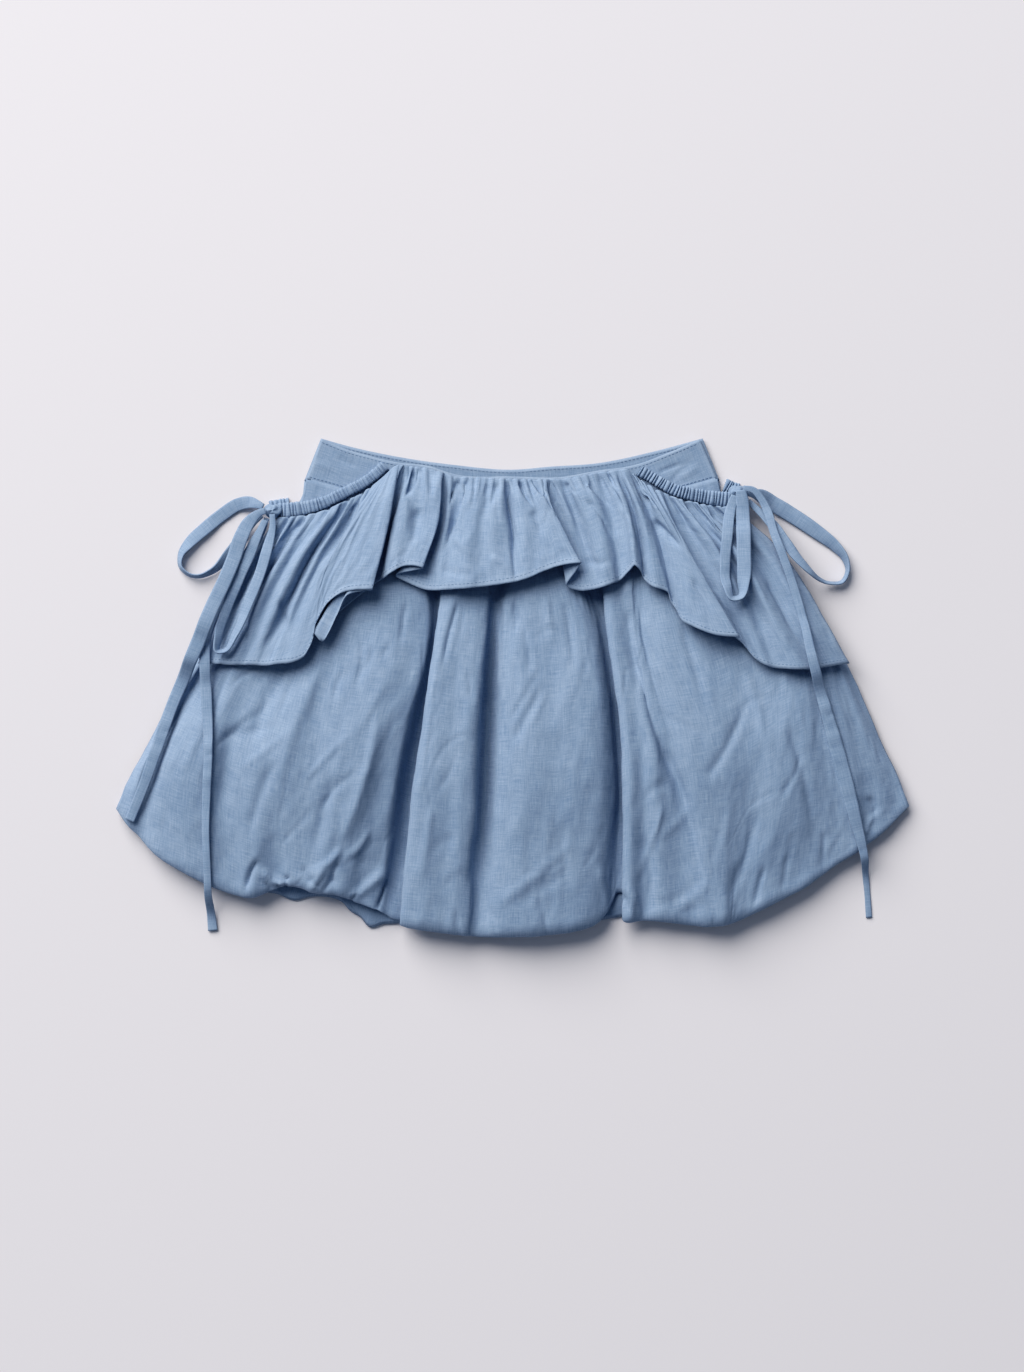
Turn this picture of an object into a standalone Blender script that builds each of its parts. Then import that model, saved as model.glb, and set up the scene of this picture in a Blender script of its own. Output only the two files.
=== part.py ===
"""A light bubble skirt with a ruffle on elastic casings, tied at both sides, laid flat on its back.

The skirt lies on the plane z = 0 with its waist towards +Y and its front up. Every size in this
file is in millimetres until a mesh is made, when MM turns it into metres.
"""

import math
from collections import namedtuple

import bmesh
import bpy
import numpy as np

MM = 0.001

# Driving sizes of the cloth
WALL = 1.6
THIN_WALL = 1.2
SEAM_GAP = 0.3
FLOOR_GAP = 0.05
SEAM_STEP = 0.6

# Driving sizes of the waist yoke, which is a curved band, and of the seam under it
YOKE_LEVEL_BACK = 3.0
YOKE_LEVEL_FRONT = 5.6
YOKE_ARCH = 1.6
SEAM_LIFT = 0.4
SEAM_FOLD_SHARE = 0.1

# Driving sizes of the skirt: the two lines on which its folds are placed, its rolled hem, and
# where its back climbs over the ruffle behind
HIGH_LINE_Y = 70.0
LOW_LINE_Y = -60.0
HEM_ROLL = 17.0
HEM_TUCK = 22.0
HEM_UNDER_LEVEL = 10.4
HEM_WALL_ROOM = 4.6
ROLL_FOR_HEIGHT = 1.3

# Just under the seam, how far a fold has come from the seam to the high line: across, down and up
SIDE_SHARES = (0.05, 0.15, 0.18)

# The rows of the back, as shares of its way across and of its way down
BACK_STEPS = (
    (0.0, 0.0), (0.01, 0.055), (0.16, 0.16), (0.3, 0.3), (0.42, 0.42), (0.52, 0.52), (0.62, 0.62),
    (0.8, 0.8), (1.0, 1.0),
)

# Driving sizes of the elastic casings and of the ties
CASING_WIDTH = 9.5
CASING_LEVEL = 3.6
CASING_RIBS = 29
SHORT_CASING_RIBS = 5
RIB_HEIGHT = 0.9
RIB_SPREAD = 0.3
CASING_CORNERS = 8
RUFFLE_TOP_SHARE = 0.14
RUFFLE_TOP_DROP = 0.3
RUFFLE_REACH = 9.0
RUFFLE_SOFTEN = 6.0
TIE_WALL = 1.6
TIE_REACH = 9.0
TIE_RISE_RUN = 26.0
TIE_EASING = (0.25, 0.5, 0.25)

# Colours as red, green and blue, for the wide cloth and for what is sewn on it
CHAMBRAY = (0.30, 0.39, 0.52)
CHAMBRAY_BACK = (0.25, 0.33, 0.46)
CHAMBRAY_TIE = (0.27, 0.36, 0.50)
CLOTH_ROUGHNESS = 0.85

# The top edge of the waist as it lies, from the left corner to the right one
Edge = namedtuple("Edge", "x y")
WAIST_BACK = (
    Edge(-163, 211), Edge(-142, 205), Edge(-101, 196), Edge(-50, 188.5), Edge(0, 184.5),
    Edge(31, 187), Edge(72, 190), Edge(120, 200), Edge(161, 211),
)
WAIST_FRONT = (
    Edge(-162.5, 210.5), Edge(-142, 202), Edge(-120, 195.5), Edge(-101, 191), Edge(-70, 187),
    Edge(-50, 180.5), Edge(0, 178.5), Edge(40, 178), Edge(72, 183.5), Edge(104, 188.5),
    Edge(130, 198), Edge(158.5, 210),
)

# The seam under each yoke: its two ends, and how far it sags between them
YokeSpan = namedtuple("YokeSpan", "left_x left_y right_x right_y sag")
YOKE_FRONT_SPAN = YokeSpan(-175.0, 178.0, 173.0, 178.5, 32.0)
YOKE_BACK_SPAN = YokeSpan(-177.0, 177.0, 175.0, 177.5, 31.0)

# The elastic casings from end to end, and the top edge of the ruffle, which hangs from the left
# casing, then from the waist, then from the right casing
CASING_LEFT = (
    Edge(-198.6, 149.5), Edge(-185, 150.5), Edge(-170, 153), Edge(-158, 157), Edge(-145, 163.5),
    Edge(-130, 171), Edge(-118, 179), Edge(-108.5, 187.5),
)
CASING_RIGHT = (
    Edge(107, 183.5), Edge(115, 179), Edge(125, 173), Edge(138, 166.5), Edge(150, 163.5),
    Edge(165, 160.5), Edge(175, 159.3), Edge(184.3, 158.7),
)
CASING_BACK_LEFT = (Edge(-206, 151.5), Edge(-198, 153.2), Edge(-189.5, 154.5))
CASING_BACK_RIGHT = (Edge(179.5, 171), Edge(185, 168.5), Edge(191, 166.5))
RUFFLE_TOP = (
    Edge(-200, 143.5), Edge(-185, 144.5), Edge(-170, 146.5), Edge(-155, 151), Edge(-142, 157.5),
    Edge(-130, 163), Edge(-118, 171), Edge(-108, 179.5), Edge(-99, 188.5), Edge(-70, 185.5),
    Edge(-50, 178.5), Edge(0, 176.5), Edge(40, 176), Edge(72, 182), Edge(97, 185),
    Edge(103, 178.5), Edge(122, 167), Edge(138, 160), Edge(152, 157), Edge(170, 153.5),
    Edge(187, 152.5),
)

# The skirt's folds as they lie, a row for each crest or trough from the left edge to the right
# one: where it crosses the high line and the low line, where it meets the hem, and its height
# at those three places
SkirtFold = namedtuple("SkirtFold", "high_x low_x hem_x hem_y high_z low_z hem_z")
SKIRT_FOLDS = (
    SkirtFold(-239, -317, -336, -103, 5.0, 7.0, 10.0),
    SkirtFold(-233, -309, -326, -117, 9.0, 15.5, 13.0),
    SkirtFold(-229, -302, -318, -125, 8.0, 11.5, 11.0),
    SkirtFold(-221, -289, -303, -141, 12.5, 20.0, 17.0),
    SkirtFold(-206, -264, -272, -160, 15.5, 26.5, 21.0),
    SkirtFold(-190, -241, -243, -173, 15.0, 24.5, 19.0),
    SkirtFold(-172, -212, -222, -178, 18.0, 31.5, 23.0),
    SkirtFold(-160, -192, -204, -172, 18.5, 33.0, 17.5),
    SkirtFold(-147, -174, -187, -168, 18.0, 32.0, 22.0),
    SkirtFold(-130, -153, -167, -174, 19.5, 34.5, 24.0),
    SkirtFold(-110, -131, -152, -175, 20.0, 35.0, 24.0),
    SkirtFold(-90, -112, -142, -178, 19.5, 33.5, 22.0),
    SkirtFold(-78, -99, -124, -188, 15.5, 24.0, 17.0),
    SkirtFold(-72, -90, -104, -194, 11.0, 11.5, 12.5),
    SkirtFold(-66, -84, -97, -197, 11.5, 12.0, 13.0),
    SkirtFold(-60, -79, -92, -200, 19.5, 33.0, 21.0),
    SkirtFold(-52, -68, -78, -205, 24.0, 37.0, 26.0),
    SkirtFold(-41, -52, -62, -207, 22.5, 35.5, 25.0),
    SkirtFold(-26, -38, -47, -209, 23.0, 36.5, 26.0),
    SkirtFold(-18, -27, -37, -210, 18.0, 29.0, 23.5),
    SkirtFold(-14, -20, -29, -210.5, 16.0, 24.0, 22.5),
    SkirtFold(-7, -10, -18, -210.5, 21.0, 34.0, 24.5),
    SkirtFold(8, 10, 8, -210.5, 23.0, 36.5, 27.0),
    SkirtFold(32, 35, 32, -208.5, 22.5, 36.0, 26.0),
    SkirtFold(52, 58, 54, -206, 22.0, 36.5, 25.5),
    SkirtFold(65, 73, 70, -199, 20.0, 32.5, 22.0),
    SkirtFold(72, 83, 83, -182, 11.0, 12.0, 13.0),
    SkirtFold(78, 88, 89, -183, 11.0, 11.5, 12.5),
    SkirtFold(83, 92, 94, -196.5, 19.5, 31.0, 21.0),
    SkirtFold(90, 98, 100, -198, 22.0, 33.5, 23.0),
    SkirtFold(95, 105, 106, -196, 19.5, 29.0, 18.0),
    SkirtFold(100, 118, 124, -198, 21.5, 35.0, 24.5),
    SkirtFold(106, 134, 151, -201.5, 19.0, 30.5, 22.0),
    SkirtFold(116, 150, 165, -202, 22.5, 36.5, 26.0),
    SkirtFold(142, 176, 178, -200.5, 22.0, 36.0, 25.0),
    SkirtFold(176, 201, 191, -197, 19.0, 31.5, 21.0),
    SkirtFold(204, 224, 213, -187, 18.0, 33.0, 23.0),
    SkirtFold(224, 250, 246, -170, 16.0, 29.0, 20.0),
    SkirtFold(232, 267, 275, -149, 13.0, 22.5, 15.0),
    SkirtFold(238, 281, 291, -139, 13.0, 22.0, 16.0),
    SkirtFold(242, 292, 301, -132, 11.0, 18.5, 11.5),
    SkirtFold(247, 304, 315, -121, 10.5, 15.5, 13.0),
    SkirtFold(253, 319, 336, -101, 5.0, 7.0, 10.0),
)

# The back of the skirt under them: its edge from the left tip round the hem to the right tip
BACK_HEM = (
    Edge(-334, -102), Edge(-302, -137), Edge(-262, -160), Edge(-215, -174), Edge(-172, -178),
    Edge(-145, -184), Edge(-122, -202.5), Edge(-100, -197), Edge(-50, -203), Edge(0, -205),
    Edge(50, -202), Edge(96, -194), Edge(150, -196), Edge(196, -188), Edge(244, -166),
    Edge(292, -134), Edge(334, -100),
)
BACK_HEM_FOLD = 26.0
BACK_HEM_RISE = 2.6
BACK_CLIMB_Y = 4.0
BACK_CLIMB_RUN = 34.0

# The ruffle's folds, a row for each crest or trough: where it starts on the ruffle's top edge,
# its middle, its end on the ruffle's hem, and how far it stands off the cloth under it at its
# middle and at the hem. Where a row lies left of the one before it, the cloth folds under.
RuffleFold = namedtuple("RuffleFold", "top_x mid_x mid_y hem_x hem_y mid_rise hem_rise")
RUFFLE_FOLDS = (
    RuffleFold(-199, -234, 92, -266, 20, 1.2, 1.2),
    RuffleFold(-195, -228, 92, -260, 19.5, 4.5, 3.5),
    RuffleFold(-191, -222, 92, -253, 19.5, 2.0, 2.0),
    RuffleFold(-186, -217, 92, -248, 19.5, 5.5, 4.5),
    RuffleFold(-178, -213, 92, -243, 19, 1.8, 2.2),
    RuffleFold(-168, -208, 92, -236, 18.5, 8.5, 5.0),
    RuffleFold(-154, -200, 92, -228, 18.5, 2.5, 2.5),
    RuffleFold(-147, -194, 93, -219, 18.5, 10.0, 6.0),
    RuffleFold(-140, -181, 93, -210, 18, 1.6, 3.0),
    RuffleFold(-136, -174, 94, -203, 18.5, 7.0, 6.0),
    RuffleFold(-131, -167, 95, -196, 19.5, 5.0, 6.0),
    RuffleFold(-125, -162, 95, -186, 20.5, 11.0, 8.0),
    RuffleFold(-119, -159, 96, -176, 25, 11.8, 9.0),
    RuffleFold(-113.5, -155, 101, -168.5, 38, 12.0, 11.5),
    RuffleFold(-109, -148, 108, -166, 52, 12.2, 13.0),
    RuffleFold(-105.5, -137, 117, -155, 71, 12.5, 14.8),
    RuffleFold(-102, -123, 127, -141, 80, 13.0, 16.2),
    RuffleFold(-97, -105, 137, -118, 81.5, 13.0, 17.0),
    RuffleFold(-96.3, -105.5, 136.8, -119, 81, 10.6, 14.6),
    RuffleFold(-95.3, -107.5, 135.5, -140, 77, 8.4, 11.0),
    RuffleFold(-94.4, -109.5, 134.5, -152, 57, 6.8, 8.4),
    RuffleFold(-93.6, -112, 133, -167, 37, 4.8, 6.0),
    RuffleFold(-92.9, -112, 132.8, -167.5, 38, 3.0, 3.6),
    RuffleFold(-92, -108.5, 134, -155, 55, 1.8, 2.0),
    RuffleFold(-91, -103, 137, -114, 89, 1.4, 1.6),
    RuffleFold(-88, -100.5, 138, -108, 92.5, 8.0, 9.0),
    RuffleFold(-84, -93, 140, -100, 97.5, 10.5, 12.0),
    RuffleFold(-79, -84, 140, -92, 101.5, 9.5, 11.5),
    RuffleFold(-74, -74, 141, -84, 102, 12.0, 14.0),
    RuffleFold(-60, -63, 140, -76, 100, 13.0, 15.5),
    RuffleFold(-59.2, -63.5, 139.8, -77, 99.5, 10.6, 12.8),
    RuffleFold(-58.2, -65, 139.5, -87, 97.5, 8.0, 9.4),
    RuffleFold(-57.2, -66.5, 139, -98, 95, 5.6, 6.4),
    RuffleFold(-56.4, -66.5, 138.5, -98.5, 93, 3.4, 4.0),
    RuffleFold(-55.6, -64.5, 138, -90, 88.5, 1.6, 1.8),
    RuffleFold(-54.5, -60, 139, -74, 82, 1.4, 3.0),
    RuffleFold(-51, -55, 141, -62, 81.3, 4.5, 5.0),
    RuffleFold(-47, -51.5, 141, -57, 81.5, 3.2, 6.0),
    RuffleFold(-40, -45, 140, -50, 82, 8.5, 8.0),
    RuffleFold(-32, -36, 138, -40, 82.5, 11.5, 11.0),
    RuffleFold(-21, -26, 138, -25, 84.2, 10.0, 10.0),
    RuffleFold(-11, -12, 138, -11, 86, 12.5, 12.0),
    RuffleFold(-4.5, 1, 137, 4, 88.7, 8.5, 11.0),
    RuffleFold(2, 9, 138, 13, 91.5, 12.5, 13.0),
    RuffleFold(9, 19, 139, 24, 96.5, 11.5, 13.0),
    RuffleFold(16, 30, 141, 40, 102, 12.5, 15.0),
    RuffleFold(25, 38, 142, 57, 104, 12.5, 17.0),
    RuffleFold(25.8, 37.5, 141.7, 56.3, 103, 10.3, 14.4),
    RuffleFold(26.8, 36.5, 141, 51, 95, 8.0, 10.4),
    RuffleFold(27.8, 35.5, 140.3, 45.3, 87, 5.6, 6.4),
    RuffleFold(28.5, 35.5, 140, 45.5, 85, 3.4, 4.0),
    RuffleFold(29.4, 37.5, 140, 50, 82.5, 1.6, 1.8),
    RuffleFold(30.5, 42, 141, 58, 81, 1.4, 2.4),
    RuffleFold(34.5, 48, 143, 64, 81.5, 5.0, 4.5),
    RuffleFold(39.5, 54, 141, 70, 82.5, 3.4, 5.5),
    RuffleFold(48, 63, 141, 77, 84.5, 9.5, 9.0),
    RuffleFold(60, 73, 142, 84, 87, 9.5, 8.5),
    RuffleFold(70, 84, 140, 90, 89.5, 2.5, 3.0),
    RuffleFold(76, 92.5, 141, 97, 97, 7.0, 8.0),
    RuffleFold(81, 97.5, 141, 102, 102.5, 12.5, 15.0),
    RuffleFold(86, 102, 141, 107, 97.5, 8.0, 9.5),
    RuffleFold(89, 104.5, 140, 110, 91, 2.2, 3.2),
    RuffleFold(92, 110, 138, 119, 83.5, 9.0, 9.0),
    RuffleFold(95, 115, 136, 129.5, 80, 7.0, 7.0),
    RuffleFold(98, 121, 132, 135, 69, 1.6, 3.0),
    RuffleFold(102, 127, 130, 141.5, 56, 7.5, 6.0),
    RuffleFold(107, 133, 126, 150, 51, 12.0, 12.0),
    RuffleFold(115, 141, 120, 170, 43.5, 12.5, 15.0),
    RuffleFold(123, 148, 114, 189, 42, 12.0, 15.0),
    RuffleFold(123.8, 148, 113.6, 188.5, 42.5, 9.4, 12.2),
    RuffleFold(124.8, 146.5, 113, 183, 45, 5.6, 7.8),
    RuffleFold(125.6, 147, 112.8, 183.5, 44, 3.6, 5.4),
    RuffleFold(126.6, 150, 113, 193, 37, 1.6, 3.5),
    RuffleFold(134, 163, 110, 203, 24, 4.5, 4.0),
    RuffleFold(142, 177, 108, 212, 18.5, 8.0, 6.5),
    RuffleFold(149, 185, 105, 222, 16, 5.0, 6.0),
    RuffleFold(157, 197, 100, 240, 14.8, 11.0, 8.5),
    RuffleFold(167, 209, 102, 256, 15.5, 2.5, 3.5),
    RuffleFold(176, 220, 105, 270, 18, 6.0, 4.5),
    RuffleFold(185, 232, 108, 284, 20, 1.2, 1.2),
)

# The ruffle behind, under the skirt: its plain hem from left to right
BACK_RUFFLE_TOP = (
    Edge(-176, 159), Edge(-120, 182), Edge(-60, 176), Edge(0, 172), Edge(60, 176),
    Edge(118, 183), Edge(174, 164),
)
BACK_RUFFLE_HEM = (
    Edge(-232, 66), Edge(-150, 50), Edge(-70, 62), Edge(0, 66), Edge(70, 62), Edge(150, 48),
    Edge(244, 62),
)

# The ties: points along the middle of each ribbon, its width there, and how far it is turned up
# on its edge, in degrees
Ribbon = namedtuple("Ribbon", "x y width roll")
LEFT_KNOT = (-205.0, 149.0)
RIGHT_KNOT = (190.0, 165.0)
KNOT_SIZE = (11.5, 9.5, 9.6)
KNOT_LEVEL = 9.0
TIES = {
    "tie_left_side_loop": (
        Ribbon(-211.4, 152.5, 5, 0), Ribbon(-216, 154.5, 7, 0), Ribbon(-223, 156.5, 10, 0),
        Ribbon(-233, 155, 11, 0), Ribbon(-246, 147, 11, 0), Ribbon(-262, 134, 11, 10),
        Ribbon(-275, 122, 10, 25),
        Ribbon(-282, 112, 8, 50), Ribbon(-282, 102, 7, 65), Ribbon(-274, 95, 7, 70),
        Ribbon(-263, 94.5, 7, 65), Ribbon(-252, 101, 8, 50), Ribbon(-242, 113, 8, 30),
        Ribbon(-231, 127, 8, 10), Ribbon(-220, 139.5, 6, 0), Ribbon(-213, 145.5, 5, 0),
    ),
    "tie_left_hanging_tail": (
        Ribbon(-208.4, 143, 4.5, 0), Ribbon(-210.5, 136.5, 5, 0), Ribbon(-216, 124, 7, 0),
        Ribbon(-228, 104, 8, 0), Ribbon(-240, 82, 9, 0), Ribbon(-252, 61, 9, 0), Ribbon(-258.5, 40, 9, 0),
        Ribbon(-259, 15, 9, 0), Ribbon(-257.5, -15, 9, 0), Ribbon(-256, -50, 8, 20),
        Ribbon(-257.5, -85, 7, 0), Ribbon(-258.5, -122, 6.5, 15), Ribbon(-257.5, -156, 6, 0),
        Ribbon(-257, -182, 6.5, 0), Ribbon(-255, -207, 8, 0),
    ),
    "tie_left_hanging_loop": (
        Ribbon(-203.5, 146, 4.5, 0), Ribbon(-203, 137, 5, 0), Ribbon(-206, 121, 8, 0),
        Ribbon(-212.5, 96, 9, 10), Ribbon(-222.5, 70, 9, 25), Ribbon(-233, 45, 8, 45),
        Ribbon(-242, 31, 7, 60),
        Ribbon(-248, 30, 7, 60), Ribbon(-247.5, 43, 8, 40), Ribbon(-240, 68, 9, 20),
        Ribbon(-231, 92, 10, 0), Ribbon(-221.5, 114, 10, 0), Ribbon(-213.5, 132, 6, 0),
        Ribbon(-209.5, 141, 5, 0),
    ),
    "tie_left_outer_tail": (
        Ribbon(-209, 149, 5, 0), Ribbon(-214.5, 147, 6, 0), Ribbon(-222, 140, 10, 0),
        Ribbon(-229, 126, 12, 0), Ribbon(-235, 108, 12, 0), Ribbon(-243, 88, 12, 0),
        Ribbon(-253, 66, 12, 0),
        Ribbon(-263.5, 40, 12, 0), Ribbon(-275, 14, 11, 0), Ribbon(-286, -11, 10, 0),
        Ribbon(-298, -45, 10, 0), Ribbon(-310, -79, 9, 0), Ribbon(-324, -113, 8, 0),
    ),
    "tie_right_side_loop": (
        Ribbon(196.6, 164.8, 5, 0), Ribbon(201.5, 164, 6, 0), Ribbon(209, 162.5, 11, 0),
        Ribbon(222, 155, 13, 0), Ribbon(240, 144, 13, 0), Ribbon(259, 131, 12, 10),
        Ribbon(273, 120, 10, 30),
        Ribbon(282, 109, 8, 55), Ribbon(284, 98, 7, 70), Ribbon(279, 89.5, 7, 70),
        Ribbon(268, 88, 7, 70), Ribbon(256, 93, 7, 60), Ribbon(243, 105, 8, 35),
        Ribbon(230, 122, 9, 10), Ribbon(217, 140, 8, 0), Ribbon(206, 151, 5, 0),
        Ribbon(199, 157.5, 4.5, 0),
    ),
    "tie_right_hanging_loop": (
        Ribbon(192.8, 161, 5, 0), Ribbon(194, 154, 6, 0), Ribbon(194, 142, 12, 0), Ribbon(194, 115, 12, 0),
        Ribbon(193.5, 90, 11, 20), Ribbon(190, 75, 8, 60), Ribbon(184, 74, 8, 60),
        Ribbon(179, 86, 9, 30), Ribbon(178, 104, 9, 10), Ribbon(180, 125, 9, 0),
        Ribbon(183, 146, 7, 0), Ribbon(186.2, 154, 4.5, 0), Ribbon(187.4, 160, 4, 0),
    ),
    "tie_right_tail": (
        Ribbon(194.5, 168, 4.5, 0), Ribbon(203, 166.5, 5, 0), Ribbon(209, 160, 6, 0),
        Ribbon(215, 148, 7, 0), Ribbon(220, 130, 7, 0), Ribbon(227, 111, 7, 0), Ribbon(233, 94, 7, 0),
        Ribbon(239, 75, 7, 0), Ribbon(245, 52, 7, 0), Ribbon(250, 28, 8, 0),
        Ribbon(256, 5, 9, 0), Ribbon(264, -22, 10, 0), Ribbon(272, -50, 12, 0),
        Ribbon(281, -82, 12, 0), Ribbon(289, -113, 10, 0), Ribbon(296, -140, 7, 0),
        Ribbon(300, -165, 5, 0), Ribbon(302.5, -196, 5, 0),
    ),
}

# How high each tie leaves its knot, and how far it stands off the cloth it lies on
Seat = namedtuple("Seat", "end_level lift")
TIE_SEATS = {
    "tie_left_side_loop": Seat(10.5, 0.6),
    "tie_left_hanging_tail": Seat(10.5, 0.5),
    "tie_left_hanging_loop": Seat(14.9, -0.4),
    "tie_left_outer_tail": Seat(15.4, 0.3),
    "tie_right_side_loop": Seat(9.5, 0.6),
    "tie_right_hanging_loop": Seat(14.9, -1.1),
    "tie_right_tail": Seat(14.9, -0.3),
}

# How finely each sheet is divided
SKIRT_STATIONS = (0.0, 0.04, 0.25, 0.6, 0.9)
SKIRT_STEPS = (0.0, 0.04, 0.14, 0.25, 0.34, 0.44, 0.54, 0.65, 0.77, 0.9)
ROLL_STEPS = 6
RUFFLE_STATIONS = (0.0, 0.5, 1.0)
RUFFLE_STEPS = (0.0, 0.1, 0.25, 0.42, 0.6, 0.8, 1.0)
BACK_COLUMNS = 34
BACK_RUFFLE_STEPS = (0.0, 0.5, 1.0)
YOKE_COLUMNS = 26
YOKE_STEPS = (0.0, 0.33, 0.67, 1.0)
RIBBON_SPACING = 8.0
RIBBON_ROWS = (-0.5, 0.0, 0.5)
MAP_CELL = 3.0
MAP_HALF_X = 372.0
MAP_HALF_Y = 240.0


def clear_scene():
    """Remove whatever the scene holds."""
    for item in list(bpy.data.objects):
        bpy.data.objects.remove(item, do_unlink=True)


def curve_through(stations, values, at):
    """Read a smooth curve through values, which stand at the stations, at the places given."""
    stations = np.asarray(stations, float)
    values = np.asarray(values, float)
    at = np.asarray(at, float)
    slopes = np.gradient(values, stations, axis=0)
    first = np.clip(np.searchsorted(stations, at, side="right") - 1, 0, len(stations) - 2)
    span = stations[first + 1] - stations[first]
    t = (at - stations[first]) / span
    if values.ndim > 1:
        span = span[:, None]
        t = t[:, None]
    start, end = values[first], values[first + 1]
    lead, trail = slopes[first] * span, slopes[first + 1] * span
    cube = 2 * start - 2 * end + lead + trail
    square = -3 * start + 3 * end - 2 * lead - trail
    return ((cube * t + square) * t + lead) * t + start


def run_lengths(points):
    """Distance of each point from the first one, along the line through them."""
    steps = np.linalg.norm(np.diff(np.asarray(points, float), axis=0), axis=1)
    return np.concatenate([[0.0], np.cumsum(steps)])


def line_points(edge, count):
    """Points evenly spaced on the smooth line through an edge's own points."""
    places = np.array([(point.x, point.y) for point in edge], float)
    lengths = run_lengths(places)
    return curve_through(lengths, places, np.linspace(0.0, lengths[-1], count))


def height_on(edge, x):
    """The y of an edge at x, for an edge that runs from left to right."""
    return np.interp(x, [point.x for point in edge], [point.y for point in edge])


def ease(value):
    """A soft step from 0 to 1."""
    value = np.clip(value, 0.0, 1.0)
    return value * value * (3.0 - 2.0 * value)


class HeightMap:
    """The highest cloth at each place, so that the next piece can lie on it."""

    def __init__(self):
        self.across = int(2 * MAP_HALF_X / MAP_CELL) + 1
        self.along = int(2 * MAP_HALF_Y / MAP_CELL) + 1
        self.top = np.zeros((self.across, self.along))

    def cell(self, x, y):
        """The place of x and y in the map, in cells."""
        return (np.asarray(x) + MAP_HALF_X) / MAP_CELL, (np.asarray(y) + MAP_HALF_Y) / MAP_CELL

    def add(self, points, half_wall):
        """Lay a sheet on the map: points[column][row] of its middle surface."""
        finer = 5
        across = np.linspace(0, points.shape[0] - 1, (points.shape[0] - 1) * finer + 1)
        along = np.linspace(0, points.shape[1] - 1, (points.shape[1] - 1) * finer + 1)
        dense = np.stack([self.between(points[:, :, k], across, along) for k in range(3)], axis=-1)
        i, j = self.cell(dense[..., 0], dense[..., 1])
        i = np.clip(np.rint(i).astype(int), 0, self.across - 1)
        j = np.clip(np.rint(j).astype(int), 0, self.along - 1)
        np.maximum.at(self.top, (i.ravel(), j.ravel()), dense[..., 2].ravel() + half_wall)

    @staticmethod
    def between(values, across, along):
        """Values read between a grid's points, in both directions."""
        i = np.clip(across.astype(int), 0, values.shape[0] - 2)
        j = np.clip(along.astype(int), 0, values.shape[1] - 2)
        s = (across - i)[:, None]
        t = (along - j)[None, :]
        low = values[i][:, j] * (1 - t) + values[i][:, j + 1] * t
        high = values[i + 1][:, j] * (1 - t) + values[i + 1][:, j + 1] * t
        return low * (1 - s) + high * s

    def widened(self, reach, soften):
        """The map with each height spread by reach, then softened, as a cloth on top bridges it."""
        spread = self.window(self.top, int(round(reach / MAP_CELL)), np.maximum)
        count = int(round(soften / MAP_CELL))
        total = self.window(spread, count, np.add)
        return total / (2 * count + 1) ** 2

    @staticmethod
    def window(values, cells, join):
        """Join each value with its neighbours this many cells away, first across, then along."""
        for axis in (0, 1):
            padded = np.pad(values, [(cells, cells) if k == axis else (0, 0) for k in (0, 1)], "edge")
            size = values.shape[axis]
            result = None
            for shift in range(2 * cells + 1):
                piece = np.take(padded, range(shift, shift + size), axis=axis)
                result = piece if result is None else join(result, piece)
            values = result
        return values

    def read(self, surface, x, y):
        """A surface made from the map, read between its cells."""
        i, j = self.cell(x, y)
        i = np.clip(i, 0, self.across - 1.001)
        j = np.clip(j, 0, self.along - 1.001)
        low_i, low_j = i.astype(int), j.astype(int)
        s, t = i - low_i, j - low_j
        near = surface[low_i, low_j] * (1 - t) + surface[low_i, low_j + 1] * t
        far = surface[low_i + 1, low_j] * (1 - t) + surface[low_i + 1, low_j + 1] * t
        return near * (1 - s) + far * s


def cloth_material(name, colour):
    """A plain woven cloth."""
    material = bpy.data.materials.new(name)
    material.use_nodes = True
    shader = material.node_tree.nodes["Principled BSDF"]
    shader.inputs["Base Color"].default_value = (*colour, 1.0)
    shader.inputs["Roughness"].default_value = CLOTH_ROUGHNESS
    shader.inputs["Metallic"].default_value = 0.0
    return material


def add_object(name, shape, material, collection):
    """Put a bmesh in the scene as an object of its own."""
    mesh = bpy.data.meshes.new(name)
    shape.to_mesh(mesh)
    shape.free()
    mesh.materials.append(material)
    piece = bpy.data.objects.new(name, mesh)
    collection.objects.link(piece)
    return piece


def sheet(name, points, wall, material, collection):
    """A cloth wall along points[column][row], whose rows run from the waist to the hem."""
    columns, rows = points.shape[0] - 1, points.shape[1] - 1
    shape = bmesh.new()
    bmesh.ops.create_grid(shape, x_segments=columns, y_segments=rows, size=1.0)
    for vertex in shape.verts:
        column = int(round((vertex.co.x + 1.0) / 2.0 * columns))
        row = int(round((1.0 - vertex.co.y) / 2.0 * rows))
        vertex.co = [float(value) * MM for value in points[column, row]]
    piece = add_object(name, shape, material, collection)
    thick = piece.modifiers.new("cloth wall", "SOLIDIFY")
    thick.thickness = wall * MM
    thick.offset = 0.0
    return piece


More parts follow.
